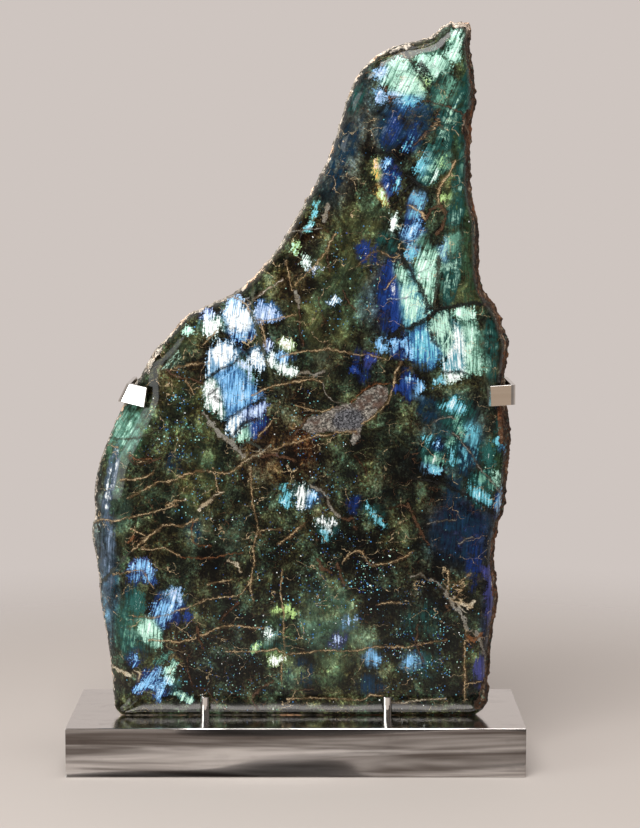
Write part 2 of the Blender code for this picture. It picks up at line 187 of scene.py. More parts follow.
@dataclass(frozen=True)
class Hairline:
    """Fine cracks: cells per millimetre, width in cells, colour, shift, and how gappy they are."""

    scale: float
    width: float
    tint: Tint
    shift: float
    gaps: float


@dataclass(frozen=True)
class Sparkle:
    """Small crystals: cells per millimetre, size of one in its cell, and share of cells with one."""

    scale: float
    size: float
    share: float


# Short names of tints, for the tables.
W, M, L, S = Tint.WHITE, Tint.MINT, Tint.LIME, Tint.SEA
T, C, K, V = Tint.TEAL, Tint.CYAN, Tint.SKY, Tint.LAVENDER
R, P, G, I = Tint.ROYAL, Tint.VIOLET, Tint.GOLD, Tint.PETROL
A, D = Tint.AZURE, Tint.DUSK
TAN, BONE, BROWN, NIGHT = Tint.TAN, Tint.BONE, Tint.BROWN, Tint.NIGHT
ASH, RUST, CREAM, OLIVE = Tint.ASH, Tint.RUST, Tint.CREAM, Tint.OLIVE
SMOKE, UMBER, SLATE, FERN = Tint.SMOKE, Tint.UMBER, Tint.SLATE, Tint.FERN
INDIGO, HARBOUR, MOSS, SAGE = Tint.INDIGO, Tint.HARBOUR, Tint.MOSS, Tint.SAGE
PETROL, DUSK = Tint.PETROL, Tint.DUSK

FLASHES = tuple(Flash(*row) for row in (
    (S, M, 5, ((81, 574), (86, 577), (96, 576), (99, 571), (103, 563), (108, 556), (110, 551),
        (109, 546), (104, 544), (99, 547), (95, 546), (91, 549), (89, 546), (86, 549), (82, 551),
        (79, 555), (75, 558), (74, 561), (79, 566))),
    (K, V, 5, ((68, 566), (73, 569), (79, 568), (78, 562), (73, 560), (69, 562))),
    (K, V, 5, ((70, 549), (73, 550), (76, 546), (77, 542), (75, 538), (71, 540), (69, 545))),
    (K, V, 5, ((83, 547), (86, 549), (88, 548), (88, 545), (86, 543), (83, 544))),
    (A, C, 5, ((91, 546), (96, 546), (102, 545), (108, 546), (105, 540), (101, 537), (97, 536),
        (92, 538))),
    (S, M, 3, ((103, 578), (108, 580), (113, 578), (118, 581), (124, 581), (129, 577),
        (133, 573), (134, 570), (129, 567), (124, 565), (121, 562), (116, 563), (113, 566),
        (108, 564), (105, 566), (103, 571))),
    (T, L, 3, ((107, 563), (112, 562), (114, 556), (112, 551), (109, 556))),
    (S, M, 3, ((135, 601), (139, 601), (143, 596), (143, 590), (143, 583), (141, 578),
        (136, 574), (131, 576), (128, 581), (131, 585), (133, 590), (135, 595))),
    (S, S, 6, ((124, 541), (128, 546), (132, 556), (135, 562), (136, 555), (133, 546),
        (128, 539))),
    (R, C, 3, ((93, 500), (97, 503), (101, 512), (104, 520), (101, 509), (98, 500))),
    (R, R, 6, ((79, 508), (83, 516), (86, 526), (89, 531), (88, 521), (84, 511))),
    (C, C, 3, ((104, 479), (109, 481), (112, 487), (114, 496), (111, 495), (107, 489),
        (105, 484))),
    (T, S, 3, ((117, 471), (121, 471), (124, 480), (126, 492), (122, 489), (119, 478))),
    (S, L, 3, ((124, 487), (127, 493), (129, 491), (127, 486))),
    (T, T, 3, ((112, 492), (115, 500), (119, 506), (120, 500), (116, 492))),
    (L, G, 2, ((67, 484), (69, 491), (72, 491), (71, 485), (70, 479), (72, 475), (69, 475),
        (68, 480))),
    (R, K, 3, ((73, 485), (74, 490), (79, 492), (81, 487), (78, 483))),
    (G, L, 2, ((72, 467), (75, 465), (78, 459), (79, 453), (77, 453), (74, 459), (72, 463))),
    (R, C, 3, ((84, 462), (86, 468), (88, 473), (90, 474), (90, 468), (87, 462))),
    (R, R, 6, ((75, 474), (79, 475), (82, 468), (83, 460), (80, 455), (78, 462), (76, 468))),
    (K, C, 4, ((103, 460), (108, 461), (109, 455), (109, 448), (106, 443), (102, 444),
        (104, 450))),
    (R, K, 6, ((94, 426), (97, 432), (103, 436), (108, 441), (109, 431), (104, 425), (98, 419))),
    (M, W, 2, ((83, 438), (85, 445), (88, 443), (87, 434), (85, 431))),
    (L, L, 3, ((126, 456), (128, 462), (131, 460), (128, 455))),
    (S, M, 6, ((86, 393), (88, 400), (91, 399), (95, 393), (99, 388), (101, 382), (96, 380),
        (91, 384), (88, 388))),
    (C, M, 7, ((91, 381), (96, 382), (102, 383), (106, 378), (109, 372), (113, 366), (114, 362),
        (112, 360), (116, 358), (115, 355), (110, 352), (104, 349), (99, 347), (95, 349),
        (93, 356), (91, 365), (91, 373))),
    (S, M, 5, ((103, 403), (107, 405), (114, 406), (120, 408), (124, 408), (124, 400),
        (123, 392), (122, 385), (121, 376), (119, 369), (117, 366), (115, 370), (113, 376),
        (112, 382), (109, 386), (109, 392), (105, 398))),
    (S, M, 4, ((107, 407), (112, 412), (120, 413), (124, 409), (118, 407), (111, 405))),
    (K, M, 3, ((124, 407), (126, 413), (129, 419), (132, 418), (131, 411), (128, 406))),
    (K, C, 4, ((96, 407), (99, 412), (104, 413), (105, 408), (100, 405))),
    (S, S, 8, ((131, 412), (134, 422), (139, 428), (139, 418), (135, 410))),
    (S, M, 4, ((137, 357), (139, 361), (145, 362), (153, 361), (157, 357), (155, 352),
        (148, 351), (142, 354))),
    (T, M, 9, ((113, 345), (119, 352), (122, 357), (127, 358), (133, 356), (138, 349),
        (139, 338), (136, 327), (131, 320), (127, 326), (123, 331), (117, 337))),
    (A, C, 7, ((100, 336), (107, 343), (113, 345), (118, 337), (124, 330), (126, 322),
        (122, 315), (116, 313), (110, 314), (106, 318), (103, 326))),
    (C, W, 5, ((137, 350), (141, 345), (145, 341), (147, 332), (147, 320), (148, 311),
        (144, 307), (136, 307), (131, 307), (130, 311), (131, 317), (134, 325), (137, 335))),
    (S, M, 6, ((146, 346), (151, 348), (157, 346), (158, 341), (156, 334), (157, 327),
        (161, 320), (164, 311), (162, 306), (156, 305), (150, 305), (148, 311), (147, 322),
        (148, 334), (145, 341))),
    (M, W, 3, ((131, 305), (137, 306), (144, 304), (142, 300), (137, 297), (133, 299))),
    (R, K, 3, ((82, 334), (86, 336), (90, 334), (89, 330), (85, 328), (82, 330))),
    (R, K, 6, ((91, 332), (96, 334), (101, 331), (102, 323), (99, 317), (94, 320), (92, 326))),
    (R, R, 9, ((86, 392), (90, 378), (92, 365), (92, 350), (88, 343), (83, 347), (80, 358),
        (82, 372), (80, 386), (76, 398), (82, 402))),
    (R, R, 8, ((57, 416), (62, 418), (67, 414), (63, 409), (58, 410))),
    (K, K, 4, ((69, 334), (73, 335), (77, 332), (79, 327), (75, 325), (71, 329))),
    (P, R, 6, ((60, 321), (66, 323), (71, 319), (66, 315), (61, 316))),
    (R, R, 6, ((47, 309), (52, 311), (54, 307), (48, 306))),
    (R, K, 5, ((97, 301), (101, 303), (106, 300), (103, 297), (98, 298))),
    (R, R, 9, ((86, 290), (88, 296), (95, 298), (103, 297), (104, 291), (96, 289), (90, 289))),
    (K, K, 3, ((104, 292), (107, 296), (110, 292), (107, 288), (105, 289))),
    (C, C, 3, ((121, 299), (127, 301), (128, 298), (122, 297))),
    (T, C, 5, ((127, 277), (131, 281), (136, 283), (142, 281), (149, 278), (149, 273),
        (145, 269), (140, 270), (136, 268), (133, 273), (130, 273))),
    (T, S, 6, ((136, 268), (142, 270), (146, 266), (143, 259), (148, 254), (146, 248),
        (141, 251), (137, 257))),
    (C, C, 4, ((150, 257), (154, 259), (157, 255), (156, 249), (151, 248))),
    (T, S, 5, ((132, 250), (138, 251), (139, 244), (133, 242))),
    (T, C, 4, ((135, 238), (138, 238), (139, 227), (136, 223), (134, 229))),
    (T, C, 5, ((112, 250), (119, 251), (120, 246), (113, 245))),
    (R, K, 3, ((121, 244), (124, 245), (126, 242), (123, 241))),
    (T, S, 6, ((115, 233), (121, 234), (128, 231), (130, 226), (124, 224), (116, 227))),
    (K, C, 4, ((114, 222), (119, 224), (127, 219), (126, 216), (119, 217))),
    (T, C, 9, ((150, 207), (158, 207), (166, 203), (171, 198), (173, 191), (168, 188),
        (160, 192), (153, 195), (150, 200))),
    (T, S, 10, ((158, 215), (163, 219), (170, 214), (175, 205), (170, 203), (162, 208))),
    (T, T, 9, ((163, 240), (169, 243), (174, 236), (174, 226), (169, 222), (165, 230))),
    (A, C, 4, ((181, 249), (186, 252), (188, 246), (187, 240), (184, 235), (181, 239))),
    (T, C, 4, ((171, 246), (177, 249), (180, 246), (179, 242), (175, 242))),
    (T, S, 4, ((180, 263), (185, 267), (187, 260), (182, 258))),
    (R, K, 4, ((174, 187), (177, 196), (181, 202), (184, 200), (185, 190), (182, 182),
        (179, 178), (176, 181))),
    (S, M, 5, ((174, 215), (176, 219), (179, 213), (178, 205), (175, 206))),
    (P, P, 14, ((167, 132), (172, 133), (176, 122), (176, 108), (174, 96), (170, 84), (168, 92),
        (169, 105), (168, 118))),
    (P, P, 14, ((158, 48), (163, 56), (167, 48), (168, 34), (163, 32), (160, 38))),
    (K, W, 4, ((-63, 358), (-60, 364), (-55, 367), (-50, 367), (-46, 363), (-41, 361),
        (-37, 360), (-36, 352), (-38, 344), (-44, 340), (-50, 341), (-56, 343), (-60, 347),
        (-62, 352))),
    (V, K, 4, ((-60, 367), (-56, 372), (-50, 373), (-47, 369), (-53, 367))),
    (R, K, 6, ((-55, 341), (-48, 341), (-40, 344), (-36, 348), (-36, 340), (-40, 335),
        (-45, 332), (-50, 333), (-53, 336))),
    (A, V, 4, ((-35, 364), (-31, 369), (-26, 367), (-21, 363), (-15, 358), (-12, 354),
        (-17, 352), (-25, 351), (-33, 351), (-35, 357))),
    (R, V, 4, ((-82, 353), (-81, 359), (-76, 360), (-72, 357), (-74, 352), (-79, 351))),
    (S, W, 4, ((-81, 349), (-76, 353), (-69, 353), (-64, 351), (-62, 347), (-67, 344),
        (-71, 339), (-78, 338), (-80, 343))),
    (M, M, 3, ((-98, 341), (-95, 346), (-91, 342), (-94, 339))),
    (K, W, 5, ((-76, 315), (-74, 324), (-70, 329), (-65, 333), (-60, 330), (-55, 329),
        (-52, 322), (-53, 317), (-59, 313), (-66, 309), (-72, 305), (-77, 302))),
    (S, W, 4, ((-80, 293), (-78, 299), (-73, 302), (-69, 300), (-65, 292), (-63, 280),
        (-61, 270), (-64, 267), (-70, 272), (-77, 273), (-79, 281))),
    (S, V, 3, ((-53, 313), (-48, 317), (-43, 315), (-38, 307), (-36, 301), (-38, 296),
        (-42, 299), (-44, 307), (-49, 309))),
    (A, K, 9, ((-71, 303), (-62, 308), (-53, 313), (-47, 309), (-42, 303), (-37, 297),
        (-36, 290), (-29, 287), (-34, 282), (-44, 277), (-53, 271), (-60, 267), (-63, 278),
        (-66, 292))),
    (K, W, 4, ((-60, 260), (-56, 266), (-50, 270), (-46, 267), (-49, 259), (-54, 251),
        (-59, 252))),
    (R, V, 6, ((-49, 270), (-42, 274), (-34, 278), (-27, 281), (-25, 277), (-29, 271),
        (-36, 266), (-43, 264), (-47, 264))),
    (S, M, 4, ((-53, 246), (-49, 251), (-45, 257), (-42, 259), (-41, 253), (-42, 247),
        (-47, 245))),
    (R, R, 6, ((-41, 258), (-36, 263), (-31, 260), (-34, 252), (-39, 250))),
    (K, W, 3, ((-41, 317), (-37, 324), (-33, 327), (-29, 322), (-26, 314), (-30, 310),
        (-35, 310))),
    (S, W, 2, ((-25, 318), (-20, 323), (-18, 317), (-21, 312))),
    (R, K, 4, ((-18, 320), (-13, 324), (-5, 320), (-8, 315), (-14, 315))),
    (S, W, 3, ((-18, 311), (-12, 314), (-5, 311), (1, 308), (1, 305), (-6, 304), (-12, 304),
        (-16, 308))),
    (L, W, 3, ((-15, 331), (-11, 336), (-7, 333), (-3, 335), (-2, 329), (-6, 325), (-10, 329))),
    (R, V, 3, ((-28, 329), (-24, 334), (-21, 330), (-25, 325))),
    (P, K, 5, ((-149, 131), (-145, 137), (-139, 141), (-133, 140), (-128, 138), (-124, 133),
        (-127, 128), (-133, 130), (-141, 130))),
    (R, K, 8, ((-147, 128), (-138, 129), (-131, 127), (-125, 125), (-124, 121), (-129, 121),
        (-136, 123), (-145, 122))),
    (K, V, 3, ((-113, 112), (-110, 114), (-103, 115), (-101, 108), (-104, 104), (-110, 103),
        (-115, 106))),
    (R, K, 7, ((-127, 99), (-121, 104), (-114, 106), (-106, 104), (-103, 99), (-108, 94),
        (-112, 88), (-118, 81), (-124, 83), (-128, 90))),
    (R, R, 5, ((-99, 91), (-96, 96), (-93, 92), (-95, 86))),
    (S, M, 6, ((-142, 81), (-135, 86), (-128, 90), (-123, 87), (-122, 78), (-120, 71),
        (-119, 64), (-124, 61), (-129, 64), (-130, 70), (-135, 73), (-140, 76))),
    (T, T, 9, ((-147, 104), (-141, 112), (-135, 110), (-134, 98), (-140, 92), (-146, 96))),
    (R, K, 6, ((-146, 52), (-142, 56), (-140, 50), (-141, 45), (-144, 46))),
    (R, K, 6, ((-144, 23), (-138, 29), (-131, 38), (-125, 44), (-120, 42), (-124, 34),
        (-131, 27), (-137, 21))),
    (R, K, 5, ((-127, 19), (-123, 27), (-118, 34), (-113, 36), (-112, 28), (-116, 20),
        (-121, 14), (-125, 15))),
    (S, M, 3, ((-116, 40), (-111, 48), (-107, 49), (-107, 44), (-111, 39), (-108, 34),
        (-110, 30), (-114, 33))),
    (T, M, 6, ((-109, 20), (-104, 25), (-97, 20), (-91, 15), (-93, 12), (-100, 15))),
    (T, S, 6, ((-126, 49), (-118, 55), (-110, 59), (-112, 54), (-119, 49))),
    (T, W, 5, ((-1, 208), (3, 210), (8, 206), (14, 200), (10, 196), (8, 188), (3, 187), (1, 192),
        (0, 200))),
    (A, K, 6, ((10, 199), (15, 201), (19, 197), (15, 191), (10, 190))),
    (T, C, 4, ((-13, 204), (-10, 208), (-7, 200), (-5, 194), (-4, 189), (-8, 187), (-12, 192))),
    (T, W, 3, ((17, 178), (21, 180), (27, 176), (33, 178), (36, 174), (31, 171), (29, 166),
        (26, 168), (24, 173), (19, 174))),
    (T, C, 5, ((22, 167), (26, 168), (29, 165), (29, 158), (25, 157), (24, 161))),
    (T, C, 3, ((62, 190), (65, 189), (69, 181), (74, 177), (80, 172), (77, 171), (70, 175),
        (65, 181))),
    (M, W, 2, ((-28, 75), (-25, 78), (-22, 78), (-22, 74), (-26, 71))),
    (L, W, 3, ((-26, 51), (-20, 54), (-12, 53), (-10, 51), (-15, 49), (-22, 48))),
    (L, L, 3, ((-18, 96), (-13, 99), (-7, 100), (-3, 97), (-1, 90), (-3, 89), (-6, 94),
        (-12, 95))),
    (S, L, 4, ((-41, 59), (-38, 63), (-33, 67), (-33, 62), (-38, 58))),
    (K, V, 3, ((44, 84), (48, 88), (51, 89), (49, 85))),
    (P, V, 5, ((33, 67), (36, 72), (40, 72), (37, 67))),
    (K, K, 10, ((61, 58), (66, 59), (73, 52), (71, 47), (66, 51))),
    (K, K, 5, ((96, 49), (100, 53), (106, 52), (105, 48), (99, 47))),
    (K, W, 3, ((28, 366), (33, 371), (37, 369), (34, 366))),
    (M, W, 3, ((5, 402), (8, 407), (11, 403), (9, 399))),
    (V, W, 3, ((13, 396), (16, 399), (20, 397), (17, 394))),
    (L, M, 4, ((-4, 412), (-2, 418), (2, 417), (1, 411))),
    (S, C, 4, ((9, 430), (13, 437), (16, 447), (18, 452), (18, 445), (15, 434), (12, 429))),
))

GLOWS = tuple(Glow(*row) for row in (
    (M, W, 0.75, (92, 562), (24, 17), 64), (T, M, 0.62, (122, 574), (18, 14), 64),
    (T, M, 0.55, (137, 588), (9, 18), 66), (T, S, 0.55, (127, 552), (13, 22), 66),
    (A, V, 0.45, (88, 541), (26, 8), 5), (I, D, 0.56, (84, 520), (16, 26), 64),
    (I, D, 0.56, (106, 518), (12, 28), 66), (T, D, 0.36, (54, 542), (10, 18), 66),
    (I, D, 0.34, (42, 495), (14, 46), 66), (T, M, 0.64, (118, 490), (10, 30), 66),
    (T, M, 0.56, (132, 520), (11, 50), 72), (R, C, 0.50, (80, 474), (14, 20), 74),
    (R, C, 0.52, (103, 448), (10, 26), 72), (S, L, 0.46, (130, 488), (8, 14), 72),
    (T, S, 0.48, (147, 520), (9, 74), 87), (T, L, 0.34, (134, 520), (8, 22), 70),
    (T, M, 0.50, (140, 456), (12, 38), 80), (S, M, 0.55, (102, 424), (15, 16), 72),
    (T, S, 0.46, (80, 418), (14, 12), 60), (R, A, 0.46, (82, 372), (14, 40), 86),
    (R, C, 0.80, (97, 372), (11, 36), 82), (S, M, 0.92, (114, 390), (15, 36), 78),
    (T, M, 0.62, (135, 400), (12, 42), 84), (Tint.FERN, S, 0.34, (150, 400), (12, 56), 90),
    (A, C, 0.88, (112, 330), (17, 24), 92), (S, M, 0.88, (130, 338), (14, 24), 94),
    (S, M, 0.95, (148, 330), (17, 29), 94), (T, M, 0.46, (170, 325), (9, 36), 92),
    (R, K, 0.55, (93, 327), (14, 13), 90), (R, R, 0.42, (62, 410), (16, 12), 30),
    (R, R, 0.34, (58, 312), (22, 10), 10), (R, C, 0.46, (98, 294), (20, 11), 10),
    (T, C, 0.60, (140, 270), (19, 22), 68), (I, D, 0.46, (118, 272), (18, 14), 40),
    (I, C, 0.60, (148, 238), (22, 30), 80), (T, C, 0.58, (163, 205), (15, 22), 86),
    (T, C, 0.44, (178, 250), (8, 24), 86), (R, C, 0.60, (178, 190), (7, 20), 86),
    (T, C, 0.44, (120, 236), (15, 24), 82), (I, T, 0.30, (140, 205), (40, 14), 170),
    (I, R, 0.34, (145, 165), (34, 36), 84), (R, R, 0.36, (158, 140), (12, 36), 86),
    (P, V, 0.36, (173, 104), (7, 54), 87), (P, R, 0.34, (163, 42), (9, 22), 87),
    # The two glows on the next line, on the left shoulder, are painted highlights: pale streaks that
    # stand for the shoulder's reflection of the light at the left.
    (S, M, 0.60, (-150, 255), (20, 30), 62), (D, W, 0.80, (-163, 212), (6, 46), 80),
    (D, V, 0.50, (-166, 145), (9, 50), 88), (R, V, 0.52, (-137, 131), (15, 12), 30),
    (I, C, 0.36, (-143, 108), (13, 22), 88), (R, V, 0.56, (-112, 98), (18, 22), 68),
    (T, M, 0.74, (-131, 75), (15, 20), 80), (T, S, 0.56, (-148, 78), (13, 38), 90),
    (R, C, 0.48, (-130, 32), (15, 15), 60), (T, C, 0.46, (-112, 28), (14, 14), 66),
    (I, T, 0.30, (-140, 58), (14, 14), 80), (A, K, 0.72, (-58, 298), (22, 36), 87),
    (R, C, 0.50, (-38, 262), (18, 16), 80), (R, V, 0.62, (-50, 352), (19, 19), 84),
    (S, L, 0.48, (-76, 349), (12, 13), 80), (R, V, 0.46, (-24, 360), (15, 11), 60),
    (T, C, 0.40, (-30, 320), (16, 14), 80), (S, L, 0.38, (-10, 322), (14, 16), 80),
    (T, M, 0.28, (-106, 316), (12, 12), 60), (T, C, 0.46, (6, 198), (20, 15), 82),
    (I, C, 0.36, (28, 170), (14, 13), 80), (I, T, 0.28, (-90, 166), (12, 16), 80),
    (I, T, 0.26, (-106, 226), (12, 16), 80), (T, C, 0.30, (70, 182), (14, 12), 60),
    (T, L, 0.32, (-10, 94), (16, 12), 80), (T, S, 0.30, (-20, 66), (18, 20), 90),
    (Tint.FERN, S, 0.26, (32, 82), (28, 46), 91), (I, K, 0.42, (66, 53), (11, 14), 88),
    (I, R, 0.34, (66, 30), (18, 13), 90), (T, S, 0.30, (108, 46), (26, 22), 90),
    (I, T, 0.30, (5, 40), (18, 20), 90), (T, S, 0.26, (110, 90), (24, 24), 90),
    (R, C, 0.34, (52, 190), (12, 12), 70),
))

CLOUDS = tuple(Cloud(*row) for row in (
    (OLIVE, 0.8, 0.85, (30, 380), (44, 50), 60), (OLIVE, 0.8, 0.7, (58, 425), (30, 36), 70),
    (OLIVE, 0.9, 0.8, (15, 340), (18, 12), 10), (OLIVE, 0.9, 0.75, (44, 340), (14, 12), 10),
    (SMOKE, 0.9, 0.8, (25, 315), (18, 12), 0), (UMBER, 0.0, 0.8, (10, 420), (14, 30), 60),
    (UMBER, 0.0, 0.7, (0, 385), (20, 26), 60), (SLATE, 0.7, 0.8, (46, 520), (24, 60), 75),
    (SLATE, 0.6, 0.6, (36, 475), (20, 36), 70), (NIGHT, 0.1, 0.7, (66, 505), (14, 20), 70),
    (SMOKE, 0.7, 0.8, (100, 588), (34, 9), 14), (SMOKE, 0.8, 0.8, (130, 602), (16, 12), 50),
    (FERN, 0.8, 0.6, (145, 500), (12, 90), 88), (OLIVE, 0.7, 0.6, (136, 470), (14, 40), 80),
    (OLIVE, 0.8, 0.7, (146, 395), (16, 50), 92), (SLATE, 0.8, 0.8, (88, 520), (28, 30), 66),
    (NIGHT, 0.1, 0.8, (88, 490), (24, 12), 150), (NIGHT, 0.1, 0.7, (100, 472), (22, 10), 150),
    (INDIGO, 0.7, 0.8, (80, 375), (20, 44), 86), (SLATE, 0.8, 0.5, (62, 368), (12, 22), 80),
    (NIGHT, 0.2, 0.7, (62, 318), (34, 16), 10), (NIGHT, 0.3, 0.7, (96, 300), (30, 26), 80),
    (SMOKE, 0.7, 0.7, (170, 320), (14, 44), 92), (NIGHT, 0.3, 0.5, (116, 270), (22, 20), 20),
    (HARBOUR, 0.7, 0.8, (140, 250), (36, 42), 75), (NIGHT, 0.3, 0.7, (108, 228), (26, 30), 85),
    (FERN, 0.8, 0.6, (172, 222), (10, 34), 84), (INDIGO, 0.9, 0.9, (145, 168), (38, 42), 80),
    (NIGHT, 0.1, 0.8, (122, 208), (34, 8), 168), (NIGHT, 0.2, 0.7, (84, 210), (20, 34), 80),
    (INDIGO, 0.8, 0.8, (170, 95), (9, 60), 88), (NIGHT, 0.1, 0.8, (150, 20), (18, 16), 0),
    (NIGHT, 0.0, 0.8, (112, 105), (38, 55), 90), (NIGHT, 0.0, 0.7, (55, 125), (66, 32), 0),
    (MOSS, 0.1, 0.9, (112, 50), (40, 52), 90), (SAGE, 0.9, 1.0, (30, 84), (30, 48), 92),
    (OLIVE, 0.9, 0.7, (30, 44), (18, 26), 92), (SAGE, 0.9, 0.6, (0, 40), (16, 20), 92),
    (SMOKE, 0.7, 0.7, (64, 55), (20, 30), 92), (FERN, 0.5, 0.5, (-18, 70), (20, 26), 92),
    (NIGHT, 0.0, 0.7, (-50, 62), (28, 48), 92), (MOSS, 0.1, 0.7, (-20, 130), (44, 36), 0),
    (BROWN, 0.0, 0.6, (-30, 244), (46, 22), 20), (UMBER, 0.0, 0.7, (10, 225), (50, 24), 15),
    (UMBER, 0.1, 0.7, (-40, 225), (26, 18), 20), (OLIVE, 0.8, 0.8, (-76, 222), (38, 14), 12),
    (OLIVE, 0.7, 0.7, (-96, 200), (28, 10), 14), (SMOKE, 0.8, 0.7, (-86, 168), (14, 22), 80),
    (SMOKE, 0.6, 0.5, (-52, 160), (16, 30), 80), (NIGHT, 0.0, 0.6, (-70, 125), (40, 22), 15),
    (UMBER, 0.0, 0.6, (0, 270), (40, 26), 20), (UMBER, 0.1, 0.6, (-100, 300), (30, 40), 70),
    (OLIVE, 0.3, 0.7, (-100, 262), (30, 34), 70), (OLIVE, 0.6, 0.6, (-104, 332), (22, 16), 50),
    (NIGHT, 0.0, 0.6, (-44, 330), (42, 50), 80), (FERN, 0.9, 0.9, (-152, 250), (24, 30), 64),
    (SAGE, 0.9, 0.8, (-160, 214), (10, 44), 82), (MOSS, 0.3, 0.6, (-128, 195), (24, 20), 15),
    (SLATE, 0.9, 0.9, (-172, 160), (10, 60), 92), (PETROL, 0.9, 0.7, (-164, 120), (10, 70), 94),
    (DUSK, 0.9, 0.6, (-172, 110), (8, 60), 96), (FERN, 0.8, 0.7, (-146, 75), (18, 34), 90),
    (OLIVE, 0.6, 0.6, (-136, 58), (20, 12), 60), (NIGHT, 0.0, 0.8, (-88, 45), (22, 38), 90),
    (UMBER, 0.0, 0.7, (-110, 62), (24, 14), 10), (MOSS, 0.4, 0.7, (-72, 105), (22, 10), 15),
    (UMBER, 0.0, 0.6, (-150, 34), (16, 12), 160), (BROWN, 0.0, 1.0, (5, 240), (19, 15), 20),
    (OLIVE, 0.6, 1.0, (-95, 286), (24, 20), 70), (SAGE, 0.9, 0.7, (-152, 176), (8, 26), 84),
    (SAGE, 0.8, 0.6, (52, 66), (24, 24), 92),
))

SPARKLE_ZONES = tuple(Zone(*row) for row in (
    (1.0, (-100, 262), (34, 52), 75), (0.5, (-62, 190), (50, 42), 15),
    (0.55, (0, 250), (55, 45), 15), (0.8, (20, 150), (95, 60), 0), (0.9, (110, 75), (55, 75), 90),
    (0.75, (-60, 60), (60, 60), 90), (0.3, (30, 375), (50, 60), 60), (0.3, (75, 500), (20, 30), 70),
    (0.9, (-85, 245), (14, 14), 60), (0.8, (70, 120), (40, 22), 0),
))

